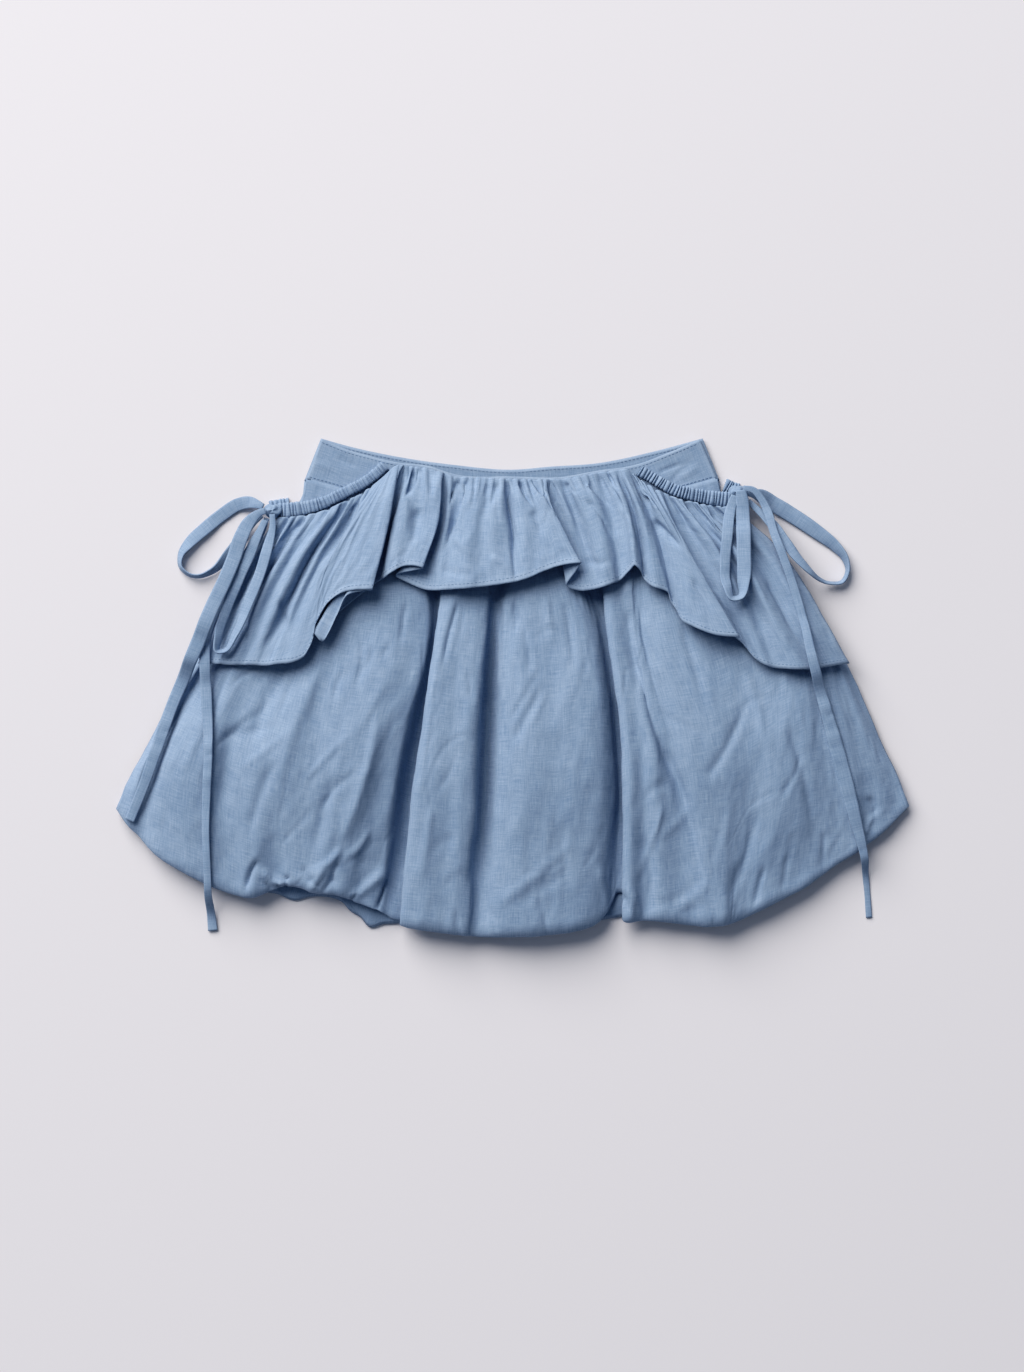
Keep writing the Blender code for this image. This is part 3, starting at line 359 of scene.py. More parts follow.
# The ruffle's folds, a row for each crest or trough: where it starts on the ruffle's top edge,
# its middle, its end on the ruffle's hem, and how far it stands off the cloth under it at its
# middle and at the hem. Where a row lies left of the one before it, the cloth folds under.
RuffleFold = namedtuple("RuffleFold", "top_x mid_x mid_y hem_x hem_y mid_rise hem_rise")
RUFFLE_FOLDS = table(
    RuffleFold,
    (-199, -234, 92, -266, 20, 1.2, 1.2),
    (-195, -228, 92, -260, 19.5, 5.5, 2.8),
    (-191, -222, 92, -253, 19.5, 3.2, 2.8),
    (-186, -216, 92, -248, 19.5, 8.4, 3.6),
    (-179, -209, 92, -243, 19, 1.2, 3.2),
    (-171, -204, 92, -236, 18.5, 10.0, 4.4),
    (-160, -196, 92, -228, 18.5, 6.6, 4.2),
    (-151, -187, 93, -219, 18.5, 12.8, 5.0),
    (-143, -179.5, 93, -210, 18, 1.4, 4.2),
    (-136, -173, 94, -203, 18.5, 10.0, 5.4),
    (-130, -168, 95, -196, 19.5, 6.4, 6.0),
    (-124, -163, 95, -186, 20.5, 11.0, 8.0),
    (-119, -159, 96, -176, 25, 12.2, 9.0),
    (-113.5, -155, 101, -168.5, 38, 12.0, 11.5),
    (-109, -148, 108, -166, 52, 12.2, 13.0),
    (-105.5, -137, 117, -155, 71, 12.5, 14.8),
    (-102, -123, 127, -141, 80, 13.0, 16.2),
    (-97, -105, 137, -118, 81.5, 13.0, 17.0),
    (-96.3, -105.5, 136.8, -119, 81, 11.3, 15.4),
    (-95.3, -108.5, 135.5, -139, 77, 11.6, 14.9),
    (-94.4, -114, 133, -149, 58, 11.5, 12.4),
    (-93.6, -120, 128, -160, 38, 11.2, 10.8),
    (-93.2, -124, 124, -167, 46, 10.6, 11.2),
    (-92.9, -120, 128, -164, 44, 4.6, 4.6),
    (-92, -108.5, 134, -155, 55, 2.4, 2.4),
    (-91, -103, 137, -114, 89, 1.4, 1.6),
    (-88, -100.5, 138, -108, 92.5, 8.0, 9.0),
    (-84, -93, 140, -100, 97.5, 10.5, 12.0),
    (-79, -84, 140, -92, 101.5, 9.5, 11.5),
    (-74, -74, 141, -84, 102, 12.0, 14.0),
    (-60, -63, 140, -76, 100, 13.0, 15.5),
    (-59.2, -63.5, 139.8, -77, 99.5, 10.6, 12.8),
    (-58.2, -65, 139.5, -87, 97.5, 8.0, 9.4),
    (-57.2, -66.5, 139, -98, 95, 5.6, 6.4),
    (-56.4, -66.5, 138.5, -98.5, 93, 3.4, 4.0),
    (-55.6, -64.5, 138, -90, 88.5, 1.6, 1.8),
    (-54.5, -60, 139, -74, 82, 1.4, 3.0),
    (-51, -55, 141, -62, 81.3, 4.5, 5.0),
    (-47, -51.5, 141, -57, 81.5, 3.2, 6.0),
    (-40, -45, 140, -50, 82, 8.5, 8.0),
    (-32, -36, 138, -40, 82.5, 11.5, 11.0),
    (-21, -26, 138, -25, 84.2, 10.0, 10.0),
    (-11, -12, 138, -11, 86, 12.5, 12.0),
    (-4.5, 1, 137, 4, 88.7, 8.5, 11.0),
    (2, 9, 138, 13, 91.5, 12.5, 13.0),
    (9, 19, 139, 24, 96.5, 11.5, 13.0),
    (16, 30, 141, 40, 102, 12.5, 15.0),
    (25, 38, 142, 57, 104, 12.5, 17.0),
    (25.8, 37.5, 141.7, 56.3, 103, 10.3, 14.4),
    (26.8, 36.5, 141, 51, 95, 8.0, 10.4),
    (27.8, 35.5, 140.3, 45.3, 87, 5.6, 6.4),
    (28.5, 35.5, 140, 45.5, 85, 3.4, 4.0),
    (29.4, 37.5, 140, 50, 82.5, 1.6, 1.8),
    (30.5, 42, 141, 58, 81, 1.4, 2.4),
    (34.5, 48, 143, 64, 81.5, 5.0, 4.5),
    (39.5, 54, 141, 70, 82.5, 3.4, 5.5),
    (48, 63, 141, 77, 84.5, 9.5, 9.0),
    (60, 73, 142, 84, 87, 9.5, 8.5),
    (70, 84, 140, 90, 89.5, 2.5, 3.0),
    (76, 92.5, 141, 97, 97, 7.0, 8.0),
    (81, 97.5, 141, 102, 102.5, 12.5, 15.0),
    (86, 102, 141, 107, 97.5, 8.0, 9.5),
    (89, 104.5, 140, 110, 91, 2.2, 3.2),
    (92, 110, 138, 119, 83.5, 9.0, 9.0),
    (95, 115, 136, 129.5, 80, 7.0, 7.0),
    (98, 121, 132, 135, 69, 1.6, 3.0),
    (102, 127, 130, 141.5, 56, 7.2, 6.0),
    (107, 133, 126, 150, 51, 11.8, 12.0),
    (115, 141, 120, 170, 43.5, 13.5, 15.0),
    (123, 148, 114, 189, 42, 12.0, 15.0),
    (123.8, 148, 113.6, 188.5, 42.5, 9.4, 12.2),
    (124.8, 146.5, 113, 183, 45, 5.6, 7.8),
    (125.6, 147, 112.8, 183.5, 44, 3.6, 5.4),
    (126.6, 150, 113, 193, 37, 1.2, 3.5),
    (134, 163, 110, 203, 24, 4.0, 4.0),
    (142, 176, 108, 212, 18.5, 10.0, 6.5),
    (149, 185, 105, 222, 16, 3.5, 5.0),
    (157, 197, 100, 240, 14.8, 12.5, 8.5),
    (167, 209, 102, 256, 15.5, 1.4, 3.0),
    (176, 220, 105, 270, 18, 7.5, 4.5),
    (185, 232, 108, 284, 20, 1.2, 1.2),
)

# The ruffle behind, under the skirt: its plain hem from left to right
BACK_RUFFLE_TOP = table(
    Edge,
    (-176, 159), (-120, 182), (-60, 176), (0, 172), (60, 176), (118, 183), (174, 164),
)
BACK_RUFFLE_HEM = table(
    Edge,
    (-232, 66), (-150, 50), (-70, 62), (0, 66), (70, 62), (150, 48), (244, 62),
)

# The ties: how high each leaves its knot, how far it stands off the cloth it lies on, and points
# along its middle, with its width there and how far it is turned up on its edge, in degrees
Tie = namedtuple("Tie", "end_level lift route")
Ribbon = namedtuple("Ribbon", "x y width roll")
LEFT_KNOT = (-203.5, 149.3)
RIGHT_KNOT = (190.0, 165.0)
KNOT_SIZE = (14.5, 12.0, 11.0)
KNOT_LEVEL = 9.0
KNOT_WRAP = 0.1
KNOT_TURNS = 3.0
KNOT_TWIST = 11.0
KNOT_PINCH = 0.16
KNOT_PINCH_WIDTH = 0.12
TIES = {
    "tie_left_side_loop": Tie(10.5, 0.6, table(
        Ribbon,
        (-211.4, 152.5, 5, 0), (-216, 154.5, 7, 0), (-223, 156.5, 10, 0), (-233, 155, 11, 0),
        (-246, 147, 11, 0), (-262, 134, 11, 10), (-275, 122, 10, 25), (-282, 112, 8, 50),
        (-282, 102, 7, 65), (-274, 95, 7, 70), (-263, 94.5, 7, 65), (-252, 101, 8, 50),
        (-242, 113, 8, 30), (-231, 127, 8, 10), (-220, 139.5, 6, 0), (-213, 145.5, 5, 0),
    )),
    "tie_left_hanging_tail": Tie(10.5, 0.5, table(
        Ribbon,
        (-208.4, 143, 4.5, 0), (-210.5, 136.5, 5, 0), (-216, 124, 7, 0), (-228, 104, 8, 0),
        (-240, 82, 9, 0), (-252, 61, 9, 0), (-258.5, 40, 9, 0), (-259, 15, 9, 0),
        (-257.5, -15, 9, 0), (-256, -50, 8, 20), (-257.5, -85, 7, 0), (-258.5, -122, 6.5, 15),
        (-257.5, -156, 6, 0), (-257, -182, 6.5, 0), (-255, -207, 8, 0),
    )),
    "tie_left_hanging_loop": Tie(14.9, -0.4, table(
        Ribbon,
        (-203.5, 146, 4.5, 0), (-203, 137, 5, 0), (-206, 121, 8, 0), (-212.5, 96, 9, 10),
        (-222.5, 70, 9, 25), (-233, 45, 8, 45), (-242, 31, 7, 60), (-248, 30, 7, 60),
        (-247.5, 43, 8, 40), (-240, 68, 9, 20), (-231, 92, 10, 0), (-221.5, 114, 10, 0),
        (-213.5, 132, 6, 0), (-209.5, 141, 5, 0),
    )),
    "tie_left_outer_tail": Tie(15.4, 0.3, table(
        Ribbon,
        (-209, 149, 5, 0), (-214.5, 147, 6, 0), (-222, 140, 10, 0), (-229, 126, 12, 0),
        (-235, 108, 12, 0), (-243, 88, 12, 0), (-253, 66, 12, 0), (-263.5, 40, 12, 0),
        (-275, 14, 11, 0), (-286, -11, 10, 0), (-298, -45, 10, 0), (-310, -79, 9, 0),
        (-324, -113, 8, 0),
    )),
    "tie_right_side_loop": Tie(9.5, 0.6, table(
        Ribbon,
        (196.6, 164.8, 5, 0), (201.5, 164, 6, 0), (209, 162.5, 11, 0), (222, 155, 13, 0),
        (240, 144, 13, 0), (259, 131, 12, 10), (273, 120, 10, 30), (282, 109, 8, 55),
        (284, 98, 7, 70), (279, 89.5, 7, 70), (268, 88, 7, 70), (256, 93, 7, 60),
        (243, 105, 8, 35), (230, 122, 9, 10), (217, 140, 8, 0), (206, 151, 5, 0),
        (199, 157.5, 4.5, 0),
    )),
    "tie_right_hanging_loop": Tie(14.9, -1.1, table(
        Ribbon,
        (192.6, 166.5, 8.5, 0), (194, 155, 11, 0), (194, 142, 12, 0), (194, 115, 12, 0),
        (193.5, 90, 11, 20), (190, 75, 8, 60), (184, 74, 8, 60), (179, 86, 9, 30),
        (178, 104, 9, 10), (180, 125, 9, 0), (182.6, 145, 9, 0), (185, 154, 8, 0),
        (187.4, 162, 6, 0),
    )),
    "tie_right_tail": Tie(14.9, -0.3, table(
        Ribbon,
        (194.5, 168, 4.5, 0), (203, 166.5, 5, 0), (209, 160, 6, 0), (215, 148, 7, 0),
        (220, 130, 7, 0), (227, 111, 7, 0), (233, 94, 7, 0), (239, 75, 7, 0), (245, 52, 7, 0),
        (250, 28, 8, 0), (256, 5, 9, 0), (264, -22, 10, 0), (272, -50, 12, 0), (281, -82, 12, 0),
        (289, -113, 10, 0), (296, -140, 7, 0), (300, -165, 5, 0), (302.5, -196, 5, 0),
    )),
}

# Creases pressed into a sheet: a curve through three places, its half width, how far it lifts the
# cloth, or sinks it where this is below nought, and how much wider it is to the left of its way
Crease = namedtuple("Crease", "start_x start_y mid_x mid_y end_x end_y width lift skew", defaults=(1.0,))
# Pleats gathered into a seam: their place along it, half width there, how far they run and lift
Gather = namedtuple("Gather", "x width reach lift")
RUFFLE_GATHERS = table(
    Gather,
    (-190, 1.4, 60, -4.32), (-183, 1.2, 40, -3.24), (-175.5, 1.7, 70, -4.86),
    (-166, 1.5, 46, -3.51), (-156, 1.6, 52, -4.59), (-147, 1.3, 34, 2.97),
    (-139.6, 1.7, 62, -5.13), (-133, 1.2, 36, -2.97), (-127, 1.5, 74, -4.86),
    (-120.5, 1.2, 30, -2.97), (-88, 1.43, 26, -3.44), (-83.2, 1.17, 46, -2.64),
    (-76.9, 1.17, 36, -2.64), (-70.9, 1.43, 27, -3.44), (-65, 1.04, 20, -2.64),
    (-57.3, 1.43, 25, -2.83), (-50, 1.3, 20, -3.65), (-44.8, 1.56, 39, -4.46),
    (-37.1, 1.17, 45, -3.84), (-32.3, 1.56, 36, -4.05), (-26.3, 1.04, 31, -2.43),
    (-20.6, 1.56, 28, -2.03), (-14.7, 1.04, 40, -3.04), (-12, 1.04, 48, -3.04),
    (-6.2, 1.04, 21, -2.43), (-0.6, 1.04, 21, -3.24), (6.5, 1.56, 23, -3.24),
    (12.2, 1.3, 48, -3.24), (19.7, 1.3, 21, -3.04), (25.4, 1.56, 44, -3.24),
    (31.1, 1.17, 27, -2.64), (36, 1.56, 24, -2.23), (41.6, 1.3, 48, -3.04),
    (49.7, 1.43, 43, -3.84), (57.6, 1.04, 26, -4.26), (64.2, 1.56, 29, -3.65),
    (72.1, 1.43, 43, -3.24), (79.7, 1.43, 28, -4.26), (100, 1.2, 46, -4.05),
    (106.5, 1.3, 64, -4.05), (113.4, 1.6, 36, -2.97), (120, 1.7, 72, -5.67),
    (127.5, 1.2, 44, -3.24), (132.5, 1.6, 66, -5.13), (139.5, 1.3, 40, -3.24),
    (146, 1.8, 76, -5.94), (152.5, 1.3, 34, -2.7), (158, 1.7, 70, -5.13), (164.5, 1.4, 48, -3.78),
    (170, 1.8, 62, -4.59), (176.5, 1.4, 66, -3.78),
)
RUFFLE_CREASES = table(
    Crease,
    (-177, 143, -190, 130, -199, 119, 1.6, -2.25),
    (-174, 144, -190, 126, -205, 100, 1.7, -2.88),
    (-131, 160, -142, 134, -165, 98, 3.4, -5.2),
    (-84, 185, -87, 171, -92, 158, 2, -3.9),
    (-79, 186, -83, 174, -90, 160, 1.9, -3.4),
    (-80, 152, -82, 135, -85, 116, 4.3, -3.4),
    (-69, 185, -68.6, 172, -69, 158, 1.5, -5.2),
    (-47, 176, -50, 166, -55, 150, 1.8, -4.5),
    (-38, 178, -47, 150, -61, 106, 2.2, -6, 0.7),
    (-33, 172, -36, 160, -42, 146, 2.1, 1.75),
    (-20, 174, -22, 158, -24, 138, 3.8, -2.6),
    (-13, 174, -16, 162, -20, 150, 2.4, -2.2),
    (-5, 178, -1, 140, 3, 76, 2.2, -8, 0.7),
    (5, 176, 10, 163, 18, 151, 1.8, -4.9),
    (15, 177, 21, 168, 31, 158, 1.8, -5.2),
    (27, 172, 29, 160, 34, 148, 1.5, -2.6),
    (34, 171, 35, 163, 37, 153, 1.2, -2.8),
    (39, 178, 50, 150, 65, 106, 1.7, -3.4),
    (45, 174, 49, 168, 55, 162, 1.4, -2.6),
    (57, 178, 71, 164, 86, 149, 1.8, -2.7),
    (60, 160, 74, 145, 87, 118, 2.4, -2.5),
    (76, 182, 88, 160, 94, 146, 1.6, -2.8),
    (80, 182, 84, 174, 90, 164, 1.3, -2.2),
    (87, 183, 100, 150, 108, 104, 1.7, -3),
    (106, 180, 112, 164, 117, 148, 1.7, -2.6),
    (118, 142, 129, 129, 144, 115, 3.1, -3.9),
    (142, 160, 159, 139, 178, 119, 1.6, -3.25),
    (150, 158, 164, 141, 180, 124, 1.5, -3),
    (158, 157, 168, 146, 181, 136, 1.4, -2.62),
    (-20, 110, -10, 104, 2, 92, 3.9, 1.5),
    (-64, 100, -50, 96, -30, 92, 4.6, -1.38),
    (16, 150, 21, 138, 25, 124, 4.4, -1.7),
    (-52, 128, -42, 118, -34, 106, 4.8, 1.38),
    (40, 116, 46, 110, 52, 106, 2.5, -1.38),
    (60, 108, 70, 104, 84, 106, 3.7, -1.5),
    (-226, 60, -224, 46, -222, 30, 2.5, -1.5),
    (-196, 76, -192, 56, -190, 34, 3, -2),
    (150, 92, 158, 78, 168, 62, 2.8, -1.75),
    (168, 84, 178, 70, 186, 58, 2.3, 1.75),
    (212, 92, 226, 66, 240, 36, 2.3, -2),
    (226, 84, 240, 58, 252, 32, 2.1, -1.5),
)
SKIRT_CREASES = table(
    Crease,
    (-112, -10, -126, -80, -147, -139, 2.6, 2.2, 2.6),
    (-143, -134, -158, -150, -184, -163, 2.4, 3.2, 1.8),
    (-215, -144, -222, -158, -227, -177, 2.6, -4.4, 1.5),
    (-210, -160, -207, -168, -203, -178, 2.0, -1.8),
    (-158, -153, -166, -164, -174, -176, 2.4, 3.4, 0.7),
    (-150, -158, -157, -168, -163, -178, 2.6, -3.0),
    (-108, -154, -124, -168, -144, -180, 2.4, 4.2, 2.2),
    (-105, -160, -111, -178, -117, -194, 2.2, -4.0, 0.7),
    (-190, -158, -192, -166, -193, -176, 2.4, -4.2),
    (-50, -188, -47, -200, -45, -214, 2.4, -2.4),
    (70, -150, 76, -172, 80, -196, 3.0, 2.0, 2.0),
    (97, -165, 100, -182, 99, -200, 1.8, 2.2, 1.0),
    (108, -120, 116, -160, 112, -200, 4.0, -3.0, 1.4),
    (126, -98, 120, -122, 100, -170, 2.6, 2.0, 0.6),
    (212, -150, 207, -168, 202, -190, 2.4, -2.4),
    (142, -186, 152, -180, 164, -174, 1.8, 2.2),
    (-146, -146, -152, -158, -150, -172, 2.2, -2.8),
    (-126, -166, -134, -176, -142, -188, 2.0, -2.6),
    (-178, -150, -172, -162, -160, -170, 2.0, -2.4),
    (-120, -118, -130, -134, -148, -148, 2.0, 2.2, 1.8),
    (20, -176, 26, -192, 30, -214, 3.0, -1.8),
    (-20, -184, -16, -198, -14, -214, 3.0, -1.6),
    (232, -140, 229, -158, 226, -178, 2.6, -1.6),
    (262, -120, 262, -138, 260, -158, 3.0, -1.8),
    (-45, 76, -54, 42, -60, 12, 2.5, -2.6),
    (-128, 42, -127, 20, -134, -4, 2.8, -2.8),
    (-118, 36, -121, 22, -126, 8, 2.3, -2.1),
    (-105, 37, -107, 30, -111, 22, 2.1, -1.8),
    (-90, 72, -93, 52, -96, 32, 2.5, -2.4),
    (-145, 12, -148, 0, -151, -14, 2.5, -1.8),
    (-37, 14, -36, 0, -34, -14, 2.3, -1.8),
    (1, 74, 2, 60, 3, 44, 2.5, -2.4),
    (13, 34, 14, 22, 15, 10, 2.5, -1.8),
    (-2, -49, 12, -24, 27, 6, 5.2, -2.4),
    (-16, -186, 20, -158, 60, -124, 2.2, 1.9, 1.6),
    (-2, -186, 26, -168, 62, -144, 2.0, -1.4),
    (-4, -30, 12, -4, 24, 18, 2.0, -1.9),
    (14, -34, 22, -16, 30, 0, 2.0, 1.4),
    (2, 66, 8, 48, 14, 34, 1.8, -2.0),
    (20, 62, 28, 50, 40, 44, 1.8, -1.6),
    (-262, -60, -232, -34, -200, -10, 2.2, -1.5),
    (-238, 2, -222, 14, -206, 18, 2.0, -1.7),
    (-232, -70, -206, -52, -178, -30, 2.0, 1.3),
    (-176, -80, -154, -56, -132, -36, 2.0, 1.5),
    (-168, -112, -148, -84, -124, -66, 2.0, -1.4),
    (-146, -140, -130, -146, -112, -146, 1.8, -1.3),
    (-214, -154, -201, -166, -186, -164, 2.4, 4.2, 1.4),
    (-66, -90, -52, -70, -44, -46, 1.8, -1.3),
    (-70, -138, -56, -128, -42, -126, 1.8, -1.2),
    (-62, -166, -48, -152, -36, -148, 1.8, 1.2),
    (108, -96, 120, -84, 134, -80, 1.9, -1.8),
    (122, -128, 140, -112, 152, -96, 1.9, 1.7),
    (136, -190, 156, -172, 172, -162, 2.0, 1.9),
    (112, -186, 132, -180, 150, -170, 1.8, -1.6),
    (222, -96, 236, -74, 244, -50, 1.9, -1.4),
    (164, 38, 180, 28, 200, 26, 2.0, -1.4),
    (160.6, -80, 180, -50, 204, 2, 3.2, -2.4, 1.6),
    (180, -185, 196, -140, 206, -96, 5.8, -2.1),
    (-245, -41, -218, -37, -190, -32, 3.9, -1.4),
    (96, 44, 119, -30, 144, -104, 6.5, -4.5, 0.6),
    (124, -36, 146, -104, 164, -186, 6.5, -4.5, 0.6),
    (-186, 34, -210, -18, -224, -58, 11.0, -5.0),
    (-158, 26, -182, -30, -208, -116, 9.0, 3.0),
    (-236, -30, -243, -70, -250, -120, 9.0, -3.5),
    (299, -92, 306, -102, 303, -112, 2.5, -2.4),
    (297, -126, 300, -116, 306, -104, 3.0, 2.1),
    (-202, -164, -196, -172, -190, -181, 2.3, -3.1),
    (-194, -160, -187, -170, -181, -180, 2.3, 2.1),
    (91, -172, 96, -184, 99, -198, 2.5, -3.5),
    (100, -170, 105, -184, 107, -197, 2.3, 2.1),
    (-30, -120, -34, -150, -42, -186, 5.8, -2.1),
    (40, -110, 42, -140, 46, -176, 6.9, -2.3),
    (-68, -96, -72, -130, -80, -172, 4.6, 1.8),
    (-150, -70, -160, -110, -170, -146, 6.3, -2.6),
    (-200, -60, -214, -96, -226, -134, 6.3, -2.4),
    (-122, -60, -134, -96, -148, -140, 5.2, 1.8),
    (230, -30, 246, -80, 254, -126, 5.8, -2.6),
    (140, 60, 152, 20, 162, -20, 4.6, -2.3),
    (192, 20, 206, -20, 216, -60, 4.6, 1.9),
    (-238, 20, -252, -20, -268, -66, 4.6, -2.1),
    (-182, 24, -190, -6, -202, -40, 4.6, -2.1),
    (96, 70, 100, 30, 106, -20, 3.4, -2.1),
    (110, 66, 116, 30, 124, -10, 3.4, 1.8),
    (44, 74, 48, 46, 52, 12, 3.4, -2.3),
    (28, 78, 30, 60, 34, 30, 2.8, 1.8),
    (-6, 80, -6, 50, -8, 10, 2.8, 1.6),
)
YOKE_CREASES = table(
    Crease,
    (122, 181, 134, 186, 149, 191, 1.8, -1.2),
    (-150, 196, -140, 190, -128, 186, 2.8, -0.9),
    (-170, 190, -160, 187, -150, 184, 3.4, 0.7),
    (140, 176, 150, 182, 158, 190, 3.0, 0.7),
)

# Loose waviness of the cloth over a sheet: how long across and along, and how high
Wave = namedtuple("Wave", "across along height seed")
SKIRT_WAVES = table(Wave, (34, 90, 0.9, 11), (13, 40, 0.28, 12), (5, 9, 0.06, 13))
RUFFLE_WAVES = table(Wave, (20, 60, 0.5, 21), (7, 26, 0.22, 22), (3.5, 6, 0.06, 23))
YOKE_WAVES = table(Wave, (30, 18, 0.25, 31), (8, 6, 0.07, 32))
BACK_WAVES = table(Wave, (40, 60, 0.25, 41), (9, 20, 0.1, 42))
TIE_WAVES = table(Wave, (9, 22, 0.2, 51))

# Sharp creases all over a sheet: how long across and along, and their share of the crumple
Crumple = namedtuple("Crumple", "across along share seed")
SKIRT_CRUMPLES = table(Crumple, (26.0, 80.0, 1.4, 3.0), (8.0, 18.0, 0.4, 4.0))
RUFFLE_CRUMPLES = table(Crumple, (15.0, 46.0, 1.0, 7.0), (5.5, 12.0, 0.3, 8.0))

# How finely the sheets are divided: lengths of a step in millimetres, and counts of steps
SKIRT_ACROSS = 2.3
SKIRT_ROWS = 92
ROLL_ROWS = 16
TUCK_ROWS = 3
RUFFLE_ACROSS = 1.9
RUFFLE_ROWS = 62
YOKE_COLUMNS = 190
YOKE_ROWS = 18
BACK_COLUMNS = 190
BACK_ROWS = 64
BACK_RUFFLE_ROWS = 24
RIBBON_SPACING = 1.6

# What has been laid so far, for the pieces that lie on it
laid = {}


def cubic(start, end, lead, trail, t):
    """The smooth way from start to end that sets out as lead and comes in as trail."""
    cube = 2 * start - 2 * end + lead + trail
    square = -3 * start + 3 * end - 2 * lead - trail
    return ((cube * t + square) * t + lead) * t + start


def smooth_line(stations, values, at):
    """Read a smooth curve through values, which stand at the stations, at the places given."""
    stations = np.asarray(stations, float)
    values = np.asarray(values, float)
    slopes = np.gradient(values, stations, axis=0)
    first = np.clip(np.searchsorted(stations, at, side="right") - 1, 0, len(stations) - 2)
    span = stations[first + 1] - stations[first]
    t = (at - stations[first]) / span
    if values.ndim > 1:
        span, t = span[:, None], t[:, None]
    lead, trail = slopes[first] * span, slopes[first + 1] * span
    return cubic(values[first], values[first + 1], lead, trail, t)


def run_lengths(points):
    """Distance of each point from the first one, along the line through them."""
    steps = np.linalg.norm(np.diff(np.asarray(points, float), axis=0), axis=1)
    return np.concatenate([[0.0], np.cumsum(steps)])


def line_points(edge, count):
    """Points evenly spaced on the smooth line through an edge's own points."""
    places = np.array(edge, float)
    lengths = run_lengths(places)
    return smooth_line(lengths, places, np.linspace(0.0, lengths[-1], count))


def height_on(edge, x):
    """The y of an edge at x, for an edge that runs from left to right."""
    return np.interp(x, [point.x for point in edge], [point.y for point in edge])


def ease(value):
    """A soft step from 0 to 1."""
    value = np.clip(value, 0.0, 1.0)
    return value * value * (3.0 - 2.0 * value)


def across_folds(lines, spacing):
    """Columns on smooth curves over the folds, this far apart, from one column for each fold."""
    lines = np.asarray(lines, float)
    count = len(lines)
    chords = np.linalg.norm(np.diff(lines, axis=0), axis=2)
    widest = np.percentile(chords, 80, axis=1)
    places = [0.0]
    for index, chord in enumerate(widest):
        parts = max(2, int(round(chord / spacing)))
        places += [index + (part + 1) / parts for part in range(parts)]
    places = np.array(places)
    steps = np.sqrt(chords) + 1e-3
    before, after = steps[:-1, :, None], steps[1:, :, None]
    slopes = np.empty_like(lines)
    slopes[1:-1] = before**2 * lines[2:] + (after**2 - before**2) * lines[1:-1] - after**2 * lines[:-2]
    slopes[1:-1] /= before * after * (before + after)
    slopes[0] = (lines[1] - lines[0]) / steps[0][:, None]
    slopes[-1] = (lines[-1] - lines[-2]) / steps[-1][:, None]
    first = np.clip(places.astype(int), 0, count - 2)
    t = (places - first)[:, None, None]
    span = steps[first][..., None]
    lead, trail = slopes[first] * span, slopes[first + 1] * span
    return cubic(lines[first], lines[first + 1], lead, trail, t)


class HeightMap:
    """The highest cloth at each place, so that the next piece can lie on it."""

    def __init__(self):
        self.across = int(2 * MAP_HALF_X / MAP_CELL) + 1
        self.along = int(2 * MAP_HALF_Y / MAP_CELL) + 1
        self.top = np.zeros((self.across, self.along))

    def cell(self, x, y):
        """The place of x and y in the map, in cells."""
        return (np.asarray(x) + MAP_HALF_X) / MAP_CELL, (np.asarray(y) + MAP_HALF_Y) / MAP_CELL

    def add(self, points, half_wall):
        """Lay a sheet on the map: points[column][row] of its middle surface."""
        for share in (0.0, 0.5):
            between = points[:-1] * (1 - share) + points[1:] * share
            for other in (0.0, 0.34, 0.67):
                dense = between[:, :-1] * (1 - other) + between[:, 1:] * other
                i, j = self.cell(dense[..., 0], dense[..., 1])
                i = np.clip(np.rint(i).astype(int), 0, self.across - 1)
                j = np.clip(np.rint(j).astype(int), 0, self.along - 1)
                np.maximum.at(self.top, (i.ravel(), j.ravel()), dense[..., 2].ravel() + half_wall)

    def widened(self, reach, soften):
        """The map with each height spread by reach, then softened, as a cloth on top bridges it."""
        spread = self.window(self.top, int(round(reach / MAP_CELL)), np.maximum)
        count = int(round(soften / MAP_CELL))
        total = self.window(spread, count, np.add)
        return total / (2 * count + 1) ** 2

    @staticmethod
    def window(values, cells, join):
        """Join each value with its neighbours this many cells away, first across, then along."""
        for axis in (0, 1):
            padded = np.pad(values, [(cells, cells) if k == axis else (0, 0) for k in (0, 1)], "edge")
            size = values.shape[axis]
            result = None
            for shift in range(2 * cells + 1):
                piece = np.take(padded, range(shift, shift + size), axis=axis)
                result = piece if result is None else join(result, piece)
            values = result
        return values

    def read(self, surface, x, y):
        """A surface made from the map, read between its cells."""
        i, j = self.cell(x, y)
        i = np.clip(i, 0, self.across - 1.001)
        j = np.clip(j, 0, self.along - 1.001)
        low_i, low_j = i.astype(int), j.astype(int)
        s, t = i - low_i, j - low_j
        near = surface[low_i, low_j] * (1 - t) + surface[low_i, low_j + 1] * t
        far = surface[low_i + 1, low_j] * (1 - t) + surface[low_i + 1, low_j + 1] * t
        return near * (1 - s) + far * s


def measured(points):
    """How far each point of a sheet lies across it and along it, on the cloth itself."""
    across = np.linalg.norm(np.diff(points, axis=0), axis=2).mean(axis=1)
    along = np.linalg.norm(np.diff(points, axis=1), axis=2)
    u = np.concatenate([[0.0], np.cumsum(across)])
    v = np.concatenate([np.zeros((points.shape[0], 1)), np.cumsum(along, axis=1)], axis=1)
    return np.broadcast_to(u[:, None], v.shape), v


def facing(points):
    """The direction that each point of a sheet faces."""
    across = np.gradient(points, axis=0)
    along = np.gradient(points, axis=1)
    normal = np.cross(along, across)
    return normal / np.maximum(np.linalg.norm(normal, axis=2), 1e-9)[..., None]


